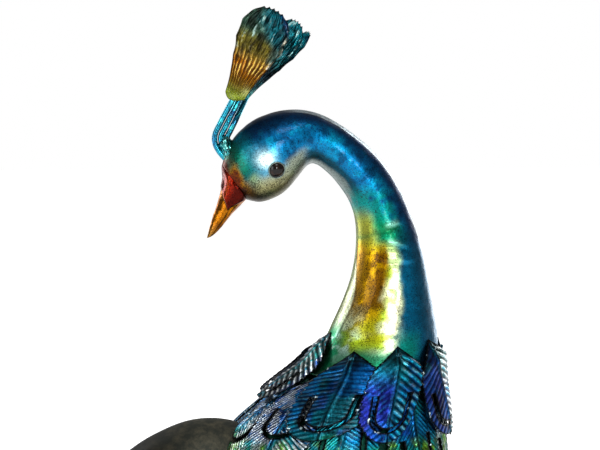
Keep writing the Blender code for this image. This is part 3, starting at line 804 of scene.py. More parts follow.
beak_tint = spray(base_coat("#9c5c06", beak_grid), [
    ("#5e3006", ramp(field(beak_grid, 8 * MM, 43), 0.4, 0.8) * 0.75),
    ("#86642c", ramp(beak_along, 3.6, 5.4) * 0.7),
    ("#6a1406", on_plate),
    # painted shade on the plate above its middle facet
    ("#3a0c06", on_plate * ramp(turned, 0.85, 0.5) * 0.8),
    # painted highlight on the plate's middle facet
    ("#e8602c", on_plate * bump(turned, 1.08, 0.1) * bump(beak_along, 1.3, 0.7) * 0.9),
    # painted shade on the plate below its middle facet
    ("#3c0a06", on_plate * ramp(turned, 1.4, 1.7) * 0.85),
    ("#3c1204", bump(plate_end - beak_along, 0.0, 0.07) * 0.8),
    ("#3a1c08", mouth * ramp(beak_along, 2.2, 2.8) * 0.7),
])
points, faces = tube(beak_grid)
put("beak_cone", points, faces, beak_finish, ["beak"],
    tint=with_poles(beak_tint), grime=0.35)

# %% [markdown]
# The eyes are polished beads of dark glass-like resin. A thin bright ring of solder holds each
# one in its socket.

# %% Eyes
EYE_RADIUS = 8.2 * MM
EYE_STATION = 2.78
EYE_ANGLE = math.radians(111)
EYE_SUNK = 4.6 * MM
LID_RADIUS = 0.6 * MM

bead_finish, tree, surface = new_material("polished_resin_bead")
clouded = remap(tree, noise(tree, 3 * MM, 3.0), 0.45, 0.75)
principled(tree, surface, {
    "Base Color": mix(tree, clouded, rgba("#070505"), rgba("#2a160c")),
    "Roughness": 0.05,
    "IOR": 1.5,
    "Specular IOR Level": 0.25,
})


def frame_round(direction):
    """Two unit vectors square to a direction and to each other."""
    first = np.cross(direction, [0, 0, 1.0])
    first /= np.linalg.norm(first)
    return first, np.cross(direction, first)


def ring_points(centre, axis, radius, thickness, turns=72, sides=14):
    """Points of a ring: a circle of the thickness carried round a circle of the radius."""
    first, second = frame_round(axis)
    big = full_turn(turns)[:, None, None]
    small = full_turn(sides)[None, :, None]
    out = first * np.cos(big) + second * np.sin(big)
    return centre + out * (radius + thickness * np.cos(small)) + axis * thickness * np.sin(small)


def closed_ring(grid):
    """Points and faces of a grid that closes on itself both ways."""
    turns, sides = grid.shape[:2]
    faces = grid_faces(turns + 1, sides, True) % (turns * sides)
    return grid.reshape(-1, 3), faces.tolist()


solder_finish, tree, surface = new_material("bright_solder")
grain = noise(tree, 1.5 * MM, 3.0)
principled(tree, surface, {
    "Base Color": rgba("#66726c"),
    "Metallic": 1.0,
    "Roughness": remap(tree, grain, to_low=0.18, to_high=0.4),
    "Normal": bumped(tree, grain, 0.3, 0.3 * MM),
})

eye_row = smooth(np.arange(len(HEAD_AND_NECK)), HEAD_AND_NECK, EYE_STATION)[0]
eye_nape = np.array([eye_row[0], 0, eye_row[1]]) * MM
eye_throat = np.array([eye_row[2], 0, eye_row[3]]) * MM
eye_reach = (eye_nape - eye_throat) / 2
for name, side_sign in (("near", -1), ("far", 1)):
    across = np.array([0, side_sign * eye_row[4] * MM, 0])
    on_skin = (eye_nape + eye_throat) / 2 + eye_reach * math.cos(EYE_ANGLE) + across * math.sin(EYE_ANGLE)
    outward = eye_reach / np.dot(eye_reach, eye_reach) * math.cos(EYE_ANGLE)
    outward = outward + across / np.dot(across, across) * math.sin(EYE_ANGLE)
    outward /= np.linalg.norm(outward)
    centre = on_skin - outward * EYE_SUNK
    first, second = frame_round(outward)
    drop = np.linspace(0.02, math.pi - 0.02, 40)[:, None, None]
    spin = full_turn(64)[None, :, None]
    ball = outward * np.cos(drop) + (first * np.cos(spin) + second * np.sin(spin)) * np.sin(drop)
    points, faces = tube(centre + ball * EYE_RADIUS)
    put(f"eye_bead_{name}", points, faces, bead_finish, [f"eye_{name}"])
    lid_radius = math.sqrt(EYE_RADIUS**2 - EYE_SUNK**2)
    lid = ring_points(on_skin + outward * 0.1 * MM, outward, lid_radius + 0.3 * MM, LID_RADIUS)
    points, faces = closed_ring(lid)
    put(f"eye_ring_{name}", points, faces, solder_finish)

# %% [markdown]
# Three steel rods carry the crest. They leave the forehead side by side, bend once and part
# sideways. Each is a circle carried along a smooth route.

# %% Crest rods
ROD_DIAMETER = 5.2 * MM
ROD_ROUTE = [
    (-36.0, 286.0),
    (-44.6, 293.6),
    (-49.6, 301.0),
    (-50.2, 307.5),
    (-46.4, 315.6),
    (-40.6, 327.0),
    (-33.2, 341.5),
    (-29.6, 348.5),
]
ROD_SPLAY_HEIGHT = 318.0
FAN_PITCH = 9.0 * MM


def rod_route(index, count):
    """Centre line of a rod: the middle route moved sideways in its plane, parting towards the top."""
    line = smooth(np.arange(len(ROD_ROUTE)), ROD_ROUTE, np.linspace(0, len(ROD_ROUTE) - 1, count)) * MM
    ahead = np.gradient(line, axis=0)
    ahead /= np.linalg.norm(ahead, axis=1, keepdims=True)
    aside = np.stack([ahead[:, 1], -ahead[:, 0]], axis=1)
    line = line + aside * (index - 1) * (ROD_DIAMETER + TOUCH_GAP)
    share = ramp(line[:, 1], ROD_SPLAY_HEIGHT * MM, line[-1, 1])
    return np.stack([line[:, 0], (index - 1) * FAN_PITCH * share, line[:, 1]], axis=1)


def swept(line, radius, sides):
    """Rings along a line: circles square to it, held upright by the bird's middle plane."""
    ahead = np.gradient(line, axis=0)
    ahead /= np.linalg.norm(ahead, axis=1, keepdims=True)
    aside = np.cross(ahead, [0, 1.0, 0])
    aside /= np.linalg.norm(aside, axis=1, keepdims=True)
    up = np.cross(aside, ahead)
    angle = full_turn(sides)[:, None]
    return line[:, None] + radius * (aside[:, None] * np.cos(angle) + up[:, None] * np.sin(angle))


for index in range(3):
    grid = swept(rod_route(index, 110), ROD_DIAMETER / 2, 28)
    rod_tint = spray(base_coat("#0b7f96", grid), [
        ("#0a3f70", ramp(field(grid, 9 * MM, 51 + index), 0.45, 0.75)),
        ("#3cc8cc", ramp(field(grid, 6 * MM, 57 + index), 0.6, 0.85) * 0.7),
    ])
    points, faces = tube(grid)
    put(f"crest_stem_{index + 1}", points, faces, rod_finish, [f"crest_rod_{index + 1}"],
        tint=with_poles(rod_tint), grime=0.2)

# %% [markdown]
# A weld leaves a lump where rod meets skin. It is a ball stretched to the joint's size, with the
# rough field pushing its skin in and out.

# %% Weld lumps


def lump(centre, axes, cell, seed, rows=36, columns=48, amount=0.35):
    """Ball with three half axes, its reach changed by the rough field up to the given share."""
    drop = np.linspace(0.03, math.pi - 0.03, rows)[:, None]
    spin = full_turn(columns)[None, :]
    ball = np.stack([
        np.sin(drop) * np.cos(spin), np.sin(drop) * np.sin(spin), np.cos(drop) + 0 * spin,
    ], axis=-1)
    shape = ball @ np.asarray(axes)
    swell = 1 + amount * (rough_field(centre + shape, cell, seed) - 0.5) * 2
    return centre + shape * swell[..., None]


def tilted_axes(long, wide, thick, direction):
    """Half axes of a lump whose long axis follows a direction in the bird's middle plane."""
    ahead = np.array([direction[0], 0, direction[1]])
    ahead = ahead / np.linalg.norm(ahead)
    out = np.cross(ahead, [0, 1.0, 0])
    return np.array([out * thick, [0, wide, 0], ahead * long])


CREST_WELD_PLACE = np.array([-45.0, 0, 297.0]) * MM
CREST_WELD_GRAIN = 3.5 * MM
weld_axes = tilted_axes(12 * MM, 9.0 * MM, 6.6 * MM, (-6, 22))
weld_grid = lump(CREST_WELD_PLACE, weld_axes, CREST_WELD_GRAIN, 61, amount=0.4)
weld_tint = spray(base_coat("#12807f", weld_grid), [
    ("#8fe6dc", ramp(field(weld_grid, 1.6 * MM, 63), 0.6, 0.8)),
    ("#0a2f3f", ramp(field(weld_grid, 2.2 * MM, 64), 0.55, 0.75)),
])
points, faces = tube(weld_grid)
put("crest_weld", points, faces, rod_finish, tint=with_poles(weld_tint), grime=0.6)

# %% [markdown]
# Each fan of the crest is a stamped shell. Ribs run from its narrow foot to a round scalloped
# rim, and the upper half is hammered. A point is found from a share across and a share up. The
# share up gives the half width from a table, and the share across goes from edge to edge.

# %% Crest fans
FAN_CUP = 3.0 * MM
FAN_SHEET = 1.2 * MM
FAN_RIBS = 10
FAN_RIB_HEIGHT = 0.45 * MM
FAN_CAD_RIB = 0.7 * MM
FAN_THICKNESS = 0.8 * MM
FAN_FOLD = 2.4 * MM
FAN_CURL = 1.5 * MM
FAN_ROWS = 110
FAN_COLUMNS = 131
HAMMER_CELL = 3.4 * MM
HAMMER_DEPTH = 4.0 * MM
# Half width of a fan up its length, both as shares
FAN_OUTLINE = [
    (0.0, 0.4),
    (0.12, 0.47),
    (0.26, 0.6),
    (0.4, 0.76),
    (0.55, 0.92),
    (0.7, 1.0),
    (0.82, 0.93),
    (0.91, 0.74),
    (0.97, 0.46),
]
# Foot x and z, lean back from upright in degrees, length and half width
FANS = [
    (-39.2, 343.0, 25.0, 84.4, 22.7),
    (-31.2, 344.2, 37.5, 82.0, 15.0),
    (-27.4, 344.0, 45.5, 81.0, 6.8),
]


def sheet_between(front, back, quads):
    """Closed thin solid: both faces, and walls along the edges that only one quad uses."""
    count = len(front)
    quads = np.asarray(quads)
    starts = quads.ravel()
    ends = np.roll(quads, -1, axis=1).ravel()
    key = starts.astype(np.int64) * count + ends
    free = ~np.isin(key, ends.astype(np.int64) * count + starts) & (starts != ends)
    walls = np.column_stack([ends[free], starts[free], starts[free] + count, ends[free] + count])
    solid = np.vstack([quads, quads[:, ::-1] + count, walls])
    return np.vstack([front, back]), [tuple(dict.fromkeys(face)) for face in solid.tolist()]


# %% [markdown]
# A fan is green at its foot, old gold where the ribs are plain, and olive to teal where the
# sheet is hammered. Painted shade darkens the hammered hollows and the rib hollows, painted
# highlights brighten the hammered crests and the rib crests, and the near fan's folded right
# rim gets a painted highlight.

# %% Fan paint


def fan_paint(index, share_up, share_across, flat, rib_wave, hammered):
    """Colours of a fan by the shares up and across it, with painted shade and highlights on its ribs and
    hammering.
    """
    patch = rough_field(flat, 11 * MM, 75 + index)
    crest = ramp(rib_wave, 0.1, 0.95)
    upper = ramp(share_up + 0.3 * share_across + 0.3 * (patch - 0.5), 0.68, 0.92)
    fan_tint = spray(base_coat("#5c5a18", flat), [
        ("#586a18", ramp(share_up, 0.16, 0.04)),
        ("#dfe894", bump(share_up, 0.1, 0.05) * bump(share_across, 0.75, 0.3) * 0.5),
        ("#a86400", bump(share_up, 0.33, 0.17) * 0.95),
        # painted glints on the rib crests
        ("#ffe070", bump(share_up, 0.33, 0.14) * crest**2 * ramp(patch, 0.48, 0.62) * 0.85),
        # painted shade in the rib hollows
        ("#2c1c04", bump(share_up, 0.36, 0.22) * ramp(rib_wave, 0.0, -0.8) * 0.85),
        ("#5a521a", bump(share_up, 0.55, 0.1) * 0.9),
        ("#2c4c40", ramp(share_up, 0.6, 0.76) * 0.95),
        ("#085a66", upper),
        ("#0a3a72", ramp(share_up + 0.2 * share_across + 0.4 * (patch - 0.5), 0.98, 1.2)),
    ])
    if index:
        fan_tint = paint(fan_tint, "#0a7480", np.full_like(share_up, 0.85))
        fan_tint = paint(fan_tint, "#0a2a4e", ramp(patch, 0.5, 0.7) * 0.7)
    # painted shade in the hammered hollows, lighter on their crests
    fan_tint = fan_tint * (0.25 + 1.1 * ramp(hammered, -0.7 * MM, 0.6 * MM))[..., None]
    # patches along the near fan's folded right rim, where a painted highlight goes
    rim_highlight = ramp(rough_field(flat, 5 * MM, 79), 0.45, 0.6)
    rim_highlight = rim_highlight * ramp(share_up, 0.2, 0.35) * ramp(share_up, 0.95, 0.85)
    fan_tint = spray(fan_tint, [
        # painted highlights: the hammered crests, and the near fan's folded right rim
        ("#b8dcd4", ramp(hammered, 0.55 * MM, 0.95 * MM) * ramp(share_up, 0.4, 0.6) * 0.5),
        ("#efe6cc", ramp(share_across, 0.82, 0.95) * rim_highlight * (index == 0)),
    ])
    return fan_tint


# %% [markdown]
# Each fan stands upright in the plane of the crest, on the near side of its rod.

# %% Fans in place
outline = np.array(FAN_OUTLINE)
for index, (foot_x, foot_z, lean, length, half) in enumerate(FANS):
    share_up, share_across = np.meshgrid(
        np.linspace(0, 1, FAN_ROWS), np.linspace(-1, 1, FAN_COLUMNS), indexing="ij")
    top = outline[-1, 0]
    widths = smooth(outline[:, 0], outline[:, 1], share_up[:, 0] * top)[:, None]
    lobes = (0.05 + 0.03 * index) * np.abs(np.sin(share_up * 16 + index))
    lobes = lobes * np.abs(share_across) ** 8 * ramp(share_up, 0.25, 0.5)
    side_place = share_across * widths * half * MM * (1 - lobes)
    round_top = (1 - share_across**2) * (1 - top) * share_up**6
    scallops = 0.02 * np.abs(np.sin(share_across * 7.5 + 0.4)) * share_up**10
    foot_drop = 0.055 * (1 - share_across**2) * (1 - 0.5 * share_across) * (1 - share_up) ** 12
    up_place = (share_up * top + round_top - scallops - foot_drop) * length * MM
    flat = np.stack([side_place, up_place, np.full_like(up_place, index * 0.1)], axis=-1)
    wander = 0.3 * (rough_field(flat, 12 * MM, 70 + index) - 0.5)
    rib_wave = np.cos((share_across + wander) * FAN_RIBS * math.pi)
    ribs = FAN_RIB_HEIGHT / (1 + index) * rib_wave * ramp(share_up, 0.02, 0.2)
    ribs = ribs * (0.5 + field(flat, 8 * MM, 77))
    stretched = flat * [1.0, 0.45, 1.0]
    hammered = (rough_field(stretched, HAMMER_CELL, 71 + index) - 0.5) * HAMMER_DEPTH
    hammered = hammered * ramp(share_up + 0.25 * index, 0.15, 0.65)
    fold = FAN_FOLD * ramp(share_across, 0.8, 1.0) * ramp(share_up, 0.2, 0.6)
    curl = FAN_CURL * ramp(share_up, 0.88, 1.0)
    cup = FAN_CUP * (side_place / (half * MM)) ** 2
    depth_out = ribs + hammered + fold + curl + cup
    lean = math.radians(lean)
    up = np.array([math.sin(lean), 0, math.cos(lean)])
    right = np.array([math.cos(lean), 0, -math.sin(lean)])
    seat = (index - 1) * FAN_PITCH - ROD_DIAMETER / 2 - TOUCH_GAP - FAN_SHEET - FAN_CAD_RIB
    foot_place = np.array([foot_x * MM, seat, foot_z * MM])
    front = foot_place + up_place[..., None] * up + side_place[..., None] * right
    front[..., 1] -= depth_out
    back = front + np.array([0, FAN_THICKNESS, 0])
    fan_tint = fan_paint(index, share_up, share_across, flat, rib_wave, hammered)
    rim = ramp(np.maximum(share_up - 0.98, np.abs(share_across) - 0.975), 0.0, 0.012) * 0.85
    quads = grid_faces(FAN_ROWS, FAN_COLUMNS, False)
    points, faces = sheet_between(front.reshape(-1, 3), back.reshape(-1, 3), quads)
    put(f"crest_shell_{index + 1}", points, faces, fan_finish, [f"crest_fan_{index + 1}"],
        tint=np.tile(fan_tint.reshape(-1, 3), (2, 1)), grime=0.55, edge=np.tile(rim.ravel(), 2))

# %% [markdown]
# A feather is one stamping: a pointed leaf with a raised quill, slanting barbs pressed as
# corrugations, teeth along its sides, and a slot cut like a U around a rounded tongue. One half
# leaf is a grid of spokes. Above, a spoke runs straight out from the quill. Lower down the
# spokes turn about the tongue's end, so that the slot's edges follow the grid exactly.

# %% Flat leaf
SHEET = 1.0 * MM
APEX_SLOPE = 1.0
LEAF_TURN = 4.0
TONGUE_HALF_WIDTH = 12.5
TONGUE_END = 78.0
TONGUE_START = 46.0
SLOT_WIDTH = 3.0
TOOTH_PITCH = 4.6
TOOTH_DEPTH = 1.7
TONGUE_SHARE = 0.6  # of the leaf's half width, where the leaf is narrow
SLOT_SHARE = 0.78
END_LENGTH = 1.4  # of the round end, in half widths
END_TURN = 2.4
RAY_STEPS = 900
STRAIGHT_SPOKES = 84
TURNED_SPOKES = 46
RING_POINTS = (14, 3, 13)  # from the quill to the slot, over the slot, and on to the outline


def leaf_half_width(along, length, half_width):
    """Half width of a leaf: slope near the point, then full width, then a round end."""
    point_side = np.maximum(along, 1e-6) * APEX_SLOPE
    blunt = (point_side**-LEAF_TURN + half_width**-LEAF_TURN) ** (-1 / LEAF_TURN)
    end = np.clip((along - (length - half_width * END_LENGTH)) / (half_width * END_LENGTH), 0, 1)
    return blunt * np.sqrt(np.maximum(1 - end**END_TURN, 0))


def flat_leaf(length, half_width):
    """Flat leaf in millimetres: points, distances to its outline and to its slot, and quads."""
    straight = np.linspace(0, TONGUE_END - TONGUE_HALF_WIDTH, STRAIGHT_SPOKES)
    width = leaf_half_width(straight, length, half_width)
    tongue = np.minimum(TONGUE_HALF_WIDTH, TONGUE_SHARE * width)
    slot_side = np.minimum(TONGUE_HALF_WIDTH + SLOT_WIDTH, SLOT_SHARE * width)
    keys = np.stack([0 * width, tongue, slot_side, width], axis=1)
    upper_x, upper_y = keys, np.repeat(straight[:, None], 4, axis=1)
    angle = np.linspace(math.pi / 2, 0, TURNED_SPOKES)[1:]
    reach = np.linspace(0, length, RAY_STEPS)
    ray_x = np.sin(angle)[:, None] * reach
    ray_y = straight[-1] + np.cos(angle)[:, None] * reach
    within = (ray_x <= leaf_half_width(np.minimum(ray_y, length), length, half_width)) & (ray_y < length)
    far = np.array([reach[np.nonzero(row)[0][-1]] for row in within])
    round_tongue = 0 * far + TONGUE_HALF_WIDTH
    radii = np.stack([0 * far, round_tongue, round_tongue + SLOT_WIDTH, far], axis=1)
    lower_x = np.sin(angle)[:, None] * radii
    lower_y = straight[-1] + np.cos(angle)[:, None] * radii
    key_x, key_y = np.vstack([upper_x, lower_x]), np.vstack([upper_y, lower_y])
    step = np.hypot(np.diff(key_x[:, 3]), np.diff(key_y[:, 3]))
    rim = np.concatenate([[0], np.cumsum(step)])
    tooth = (rim / TOOTH_PITCH) % 1
    cut_back = TOOTH_DEPTH * (1 - tooth) * ramp(rim, 8, 22)
    cut_back = cut_back * ramp(key_y[:, 3], length * 0.99, length * 0.86)
    size = np.hypot(key_x[:, 3] - key_x[:, 0], key_y[:, 3] - key_y[:, 0])
    scale = 1 - cut_back / np.maximum(size, 1)
    for key in (key_x, key_y):
        key[:, 3] = key[:, 0] + (key[:, 3] - key[:, 0]) * scale
    parts = [np.linspace(i, i + 1, points) for i, points in enumerate(RING_POINTS)]
    shares = np.concatenate([parts[0][:-1], parts[1][:-1], parts[2]])
    low = np.minimum(shares.astype(int), 2)
    part = shares - low
    x = key_x[:, low] * (1 - part) + key_x[:, low + 1] * part
    y = key_y[:, low] * (1 - part) + key_y[:, low + 1] * part
    slotted = np.concatenate([straight >= TONGUE_START, np.ones(len(angle), bool)])
    outer = np.hypot(x - key_x[:, 3:4], y - key_y[:, 3:4])
    inner = np.minimum(
        np.hypot(x - key_x[:, 1:2], y - key_y[:, 1:2]), np.hypot(x - key_x[:, 2:3], y - key_y[:, 2:3]))
    inner = np.where(slotted[:, None], inner, length)
    quads = grid_faces(*x.shape, False)
    spoke, ring = np.divmod(quads[:, 0], x.shape[1])
    in_slot = slotted[spoke] & (low[ring] == 1)
    quads = quads[~in_slot]
    count = x.size
    flat = np.column_stack([np.concatenate([x.ravel(), -x.ravel()]), np.tile(y.ravel(), 2)])
    quads = np.vstack([quads, quads[:, ::-1] + count])
    to_outline, to_slot = np.tile(outer.ravel(), 2), np.tile(inner.ravel(), 2)
    _, first, merged = np.unique(np.round(flat, 4), axis=0, return_index=True, return_inverse=True)
    return flat[first], to_outline[first], to_slot[first], merged.reshape(-1)[quads]


# %% [markdown]
# The flat leaf is then laid on the shoulders. Along it means down the body's slope, and across it
# means round the body. It rises from its weld to its layer, so that each feather overlaps the
# next, and its end lifts a little.

# %% Lay a leaf on the body
SEATING_LENGTH = 22.0
LAYER = 2.3 * MM
FIRST_LAYER = 1.1 * MM
UPPER_LENGTH = 90.0
LOWER_LENGTH = 114.0
UPPER_FIRST_LEVEL = 2
UPPER_LIFT = 3.2 * MM
LOWER_LIFT = 5.0 * MM
# Angle round the body from the chest, height of the point, lean, level, half width and size
UPPER_ROW = [
    (-124.0, 118.0, 14.0, 1, 27.0, 1.15),
    (-83.0, 122.5, 7.0, 2, 25.0, 1.0),
    (-45.0, 126.0, 16.0, 1, 25.0, 1.0),
    (-5.0, 124.0, 2.0, 0, 26.0, 1.0),
    (35.0, 124.0, -10.0, 1, 26.0, 1.0),
    (72.0, 124.0, -10.0, 2, 26.0, 1.0),
    (112.0, 120.5, -11.0, 1, 27.0, 1.0),
    (141.0, 124.0, -6.0, 2, 24.0, 1.0),
    (190.0, 131.0, -8.0, 0, 27.0, 1.0),
]
LOWER_ROW = [
    (-101.0, 86.0, 12.0, 0, 28.0, 1.0),
    (-63.0, 88.0, 11.0, 1, 28.0, 1.0),
    (-24.0, 86.0, 7.0, 0, 28.0, 1.0),
    (15.0, 86.0, -4.0, 1, 28.0, 1.0),
    (53.0, 86.0, -9.0, 0, 28.0, 1.0),
    (88.0, 86.0, -12.0, 1, 28.0, 1.0),
    (125.0, 84.0, -11.0, 0, 28.0, 1.0),
    (156.0, 82.0, -6.0, 1, 27.0, 1.0),
    (195.0, 90.0, -2.0, 0, 26.0, 1.0),
    (218.0, 98.0, 10.0, 1, 27.0, 1.0),
]


def lay_on_body(across, along, angle, point_height, lean):
    """Point and normal on the body: down its slope by the length along, round it by the width across."""
    start = math.radians(angle)
    tilt = math.radians(lean)
    turned = across * math.cos(tilt) + along * math.sin(tilt)
    down = along * math.cos(tilt) - across * math.sin(tilt)
    heights = np.linspace(point_height + 0.03, -0.06, 400)
    slope = body_point(np.full_like(heights, start), np.maximum(heights, 0))
    slope[:, 2] = heights
    run = np.concatenate([[0], np.cumsum(np.linalg.norm(np.diff(slope, axis=0), axis=1))])
    run -= np.interp(-point_height, -heights, run)
    z = np.interp(down, run, heights)
    on_body = np.maximum(z, 0.2 * MM)
    beside = body_point(start + 0.01, on_body) - body_point(start - 0.01, on_body)
    around = start + turned / (np.linalg.norm(beside, axis=-1) / 0.02)
    place = body_point(around, on_body)
    place[..., 2] = z
    return place, body_normal(around, on_body)


# %% [markdown]
# The press gives a leaf its relief: the quill stands up as a double line, the barbs are ridges
# that slant away from it, and the tongue is pushed out a little, which opens the slot. Painted
# shade darkens the hollows between the barbs and painted highlights brighten their crests.

# %% Feather paint
PRESSED_IN = 0.5 * MM
QUILL_HEIGHT = 1.1 * MM
TONGUE_RISE = 1.3 * MM
EDGE_BLACK = 1.1
FLOOR_GAP = 0.1 * MM
LEAF_COLOURS = ["#046a78", "#0450a0", "#1c2278", "#048880"]
leaves = {}


def feather_paint(across, along, place, wave, depth, press, seed):
    """Colours of a leaf: its vanes and clouds, painted shade in its hollows, painted highlights and silver
    sheen on its crests.
    """
    painted_sheen, left_colour, right_colour = press[4:]
    out = np.abs(across)
    cloud = rough_field(place, 0.022, seed)
    second = rough_field(place, 0.012, seed + 40)
    blotch = rough_field(place, 0.006, seed + 80)
    strong = np.clip(depth / 0.5, 0, 1)
    low = ramp(place[:, 2] + 0.024 * (cloud - 0.5), 0.05, 0.032)
    shade = spray(base_coat(left_colour, place), [
        (right_colour, ramp(across, -1.5, 1.5)),
        (LEAF_COLOURS[1], ramp(cloud, 0.42, 0.56) * 0.6),
        (LEAF_COLOURS[2], ramp(second, 0.52, 0.66) * ramp(along, 20, 45) * 0.5),
        (LEAF_COLOURS[3], ramp(place[:, 2], 0.085, 0.11) * ramp(cloud, 0.52, 0.4) * 0.6),
        ("#10282c", ramp(along, 22, 6) * 0.7),
        ("#128048", low * 0.85),
        ("#6aa428", low * ramp(second, 0.5, 0.6)),
    ])
    shade = shade * (0.35 + 0.95 * ramp(blotch, 0.3, 0.66))[:, None]
    # painted glints on the barb crests
    glints = ramp(wave, 0.2, 1.0) * ramp(out, 1, 4) * ramp(second, 0.56, 0.42) * strong**2
    shade = paint(shade, "#24c0e0", glints * 0.75)
    # painted shade in the hollows between the barbs
    shade = shade * (1 - (0.3 + 0.35 * strong) * ramp(wave, 0.0, -1.0))[:, None]
    # painted reflection: silver-white sheen on the barb crests, with painted shade between them
    sheen_from = 0.54 - 0.16 * painted_sheen
    sheen_patches = ramp(rough_field(place, 0.006, seed + 60), sheen_from, sheen_from + 0.1)
    sheen_patches = sheen_patches * ramp(wave, 0.1, 0.8) * ramp(out, 1, 4)
    shade = paint(shade, "#e4ecec", sheen_patches * painted_sheen * ramp(depth, 0.2, 0.4))
    shade = shade * (1 - 0.6 * painted_sheen * ramp(wave, 0.0, -0.8))[:, None]
    shade = spray(shade, [("#2a9cb4", bump(out, 1.5, 0.4) * 0.35), ("#04141e", bump(out, 0, 0.7) * 0.85)])
    return shade


# %% [markdown]
# The press and the paint come together on each feather. Its edges and its slot are black, with
# a few painted glints along them, and what would reach below the cut of the bust is sliced off.

# %% Feather


def feather(name, node, place, length, lift, first_level, seed, press):
    """One feather: flat leaf, laid on the body, pressed, given its sheet, painted and cut off."""
    angle, point_height, lean, level_up, half_width, size = place
    slant, pitch, left_depth, right_depth = press[:4]
    key = (length, half_width)
    if key not in leaves:
        leaves[key] = flat_leaf(length, half_width)
    flat, to_outline, to_slot, quads = leaves[key]
    across, along = flat[:, 0], flat[:, 1]
    scale = size * MM
    base, normal = lay_on_body(across * scale, along * scale, angle, point_height * MM, lean)
    height = FIRST_LAYER + LAYER * (first_level + level_up)
    seated = ramp(along * size, 0, SEATING_LENGTH)
    rise = TOUCH_GAP + (height - TOUCH_GAP) * seated + lift * (along / length) ** 2
    out = np.abs(across)
    depth = np.where(across < 0, left_depth, right_depth)
    wander = field(np.column_stack([flat, np.full(len(flat), float(seed))]), 9, seed) - 0.5
    line = along - out * math.tan(math.radians(slant)) + 2.0 * wander
    wave = np.cos(line / pitch * 2 * math.pi)
    barbs = depth * MM * (wave - 0.6) * ramp(out, 0.8, 3.5) * ramp(along, 4, 16)
    quill = QUILL_HEIGHT * (bump(out, 0, 1.5) - 0.6 * bump(out, 0, 0.55)) * ramp(along, 1, 8)
    centre_along = TONGUE_END - TONGUE_HALF_WIDTH
    from_centre = np.where(along > centre_along, np.hypot(out, along - centre_along), out)
    on_tongue = ramp(along, TONGUE_START - 14, TONGUE_START + 14) * (from_centre <= TONGUE_HALF_WIDTH + 0.01)
    pushed = TONGUE_RISE * on_tongue * ramp(from_centre, TONGUE_HALF_WIDTH + 9, TONGUE_HALF_WIDTH - 6)
    back_place = base + normal * (rise - PRESSED_IN * seated + barbs + quill + pushed)[:, None]
    front_place = back_place + normal * (SHEET * 0.8)
    shade = feather_paint(across, along, front_place, wave, depth, press, seed)
    wide = EDGE_BLACK + 1.2 * ramp(along, 34, 12)
    edge = np.maximum(ramp(to_outline, wide, 0.5 * wide), ramp(to_slot, 2.0, 1.2))
    # painted glints along the black edges and slot
    edge_glint = ramp(rough_field(front_place, 0.0035, seed + 90), 0.7, 0.76)
    shade = paint(shade, "#dcf6fa", edge_glint * edge)
    edge = edge * (1 - edge_glint)
    points, faces = sheet_between(front_place, back_place, quads)
    made = put(
        name, points, faces, leaf_finish, [node],
        tint=np.vstack([shade, shade * 0.5]), grime=0.4, edge=np.tile(edge, 2),
    )
    if points[:, 2].min() < 0:
        cut_at_floor(made)


def cut_at_floor(piece):
    """Slices off what hangs below the floor and closes the cut."""
    work = bmesh.new()
    work.from_mesh(piece.data)
    everything = work.verts[:] + work.edges[:] + work.faces[:]
    bmesh.ops.bisect_plane(
        work, geom=everything, plane_co=(0, 0, FLOOR_GAP), plane_no=(0, 0, -1), clear_outer=True)
    open_edges = [edge for edge in work.edges if edge.is_boundary]
    bmesh.ops.holes_fill(work, edges=open_edges, sides=0)
    work.to_mesh(piece.data)
    work.free()


# %% [markdown]
# The upper row lies over the points of the lower one. Its feathers differ in barbs and colours,
# while those of the lower row share one press.

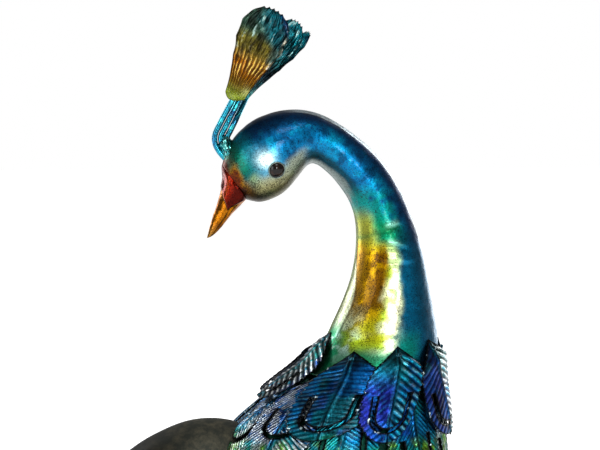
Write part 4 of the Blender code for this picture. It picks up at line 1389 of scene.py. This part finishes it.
# %% Feathers in place
# Slant of the barbs in degrees, their pitch in millimetres, their depth on the left and on the right
# vane, the share of painted silver sheen, and the colour of each vane
UPPER_PRESSES = [
    (12, 4.4, 0.25, 0.1, 0.3, "#075a6c", "#0a4450"), (42, 6.6, 0.15, 0.6, 0.15, "#1a2a86", "#087098"),
    (38, 6.4, 0.15, 0.6, 0.9, "#2c2480", "#0c3a44"), (34, 5.8, 0.3, 0.45, 0.2, "#2c2080", "#06606e"),
    (38, 6.0, 0.4, 0.3, 0.1, "#06606e", "#084a94"), (34, 5.8, 0.25, 0.4, 0.0, "#2c2080", "#087098"),
    (38, 6.0, 0.4, 0.3, 0.1, "#06606e", "#084a94"), (34, 5.6, 0.4, 0.4, 0.1, "#084a94", "#06606e"),
    (30, 6.2, 0.5, 0.5, 0.95, "#0a3a50", "#0c3a44"),
]
LOWER_SHEEN = [0.05, 0.0, 0.9, 0.4, 0.1, 0.0, 0.1, 0.2, 0.85, 0.95]
for i, place in enumerate(UPPER_ROW):
    feather(f"leaf_upper_{i + 1:02d}", f"feather_upper_{i + 1:02d}", place, UPPER_LENGTH, UPPER_LIFT,
            UPPER_FIRST_LEVEL, 100 + 7 * i, UPPER_PRESSES[i])
for i, place in enumerate(LOWER_ROW):
    feather(f"leaf_lower_{i + 1:02d}", f"feather_lower_{i + 1:02d}", place, LOWER_LENGTH, LOWER_LIFT,
            0, 300 + 7 * i, (52, 4.6, 0.35, 0.35, LOWER_SHEEN[i], LEAF_COLOURS[i % 2], LEAF_COLOURS[0]))
print("leaf shapes:", len(leaves))

# %% [markdown]
# A bead of weld holds each upper feather near its point.

# %% Feather welds
WELD_ALONG = 9.0 * MM  # from the feather's point
WELD_AXES = (2.6 * MM, 2.2 * MM, 1.5 * MM)  # half axes round the body, down it and out of it
WELD_GRAIN = 1.8 * MM
for i, place in enumerate(UPPER_ROW):
    angle, point_height, lean, level_up = place[:4]
    spot, out = lay_on_body(np.array([0.0]), np.array([WELD_ALONG]), angle, point_height * MM, lean)
    height = FIRST_LAYER + LAYER * (UPPER_FIRST_LEVEL + level_up)
    centre = spot[0] + out[0] * (TOUCH_GAP + height * 0.4 + SHEET)
    first, second = frame_round(out[0])
    axes = np.array([first, second, out[0]]) * np.array(WELD_AXES)[:, None]
    bead = lump(centre, axes, WELD_GRAIN, 81 + i, 20, 28)
    points, faces = tube(bead)
    put(f"feather_weld_{i + 1:02d}", points, faces, rod_finish,
        tint=base_coat("#0c4d5c", points), grime=0.6)
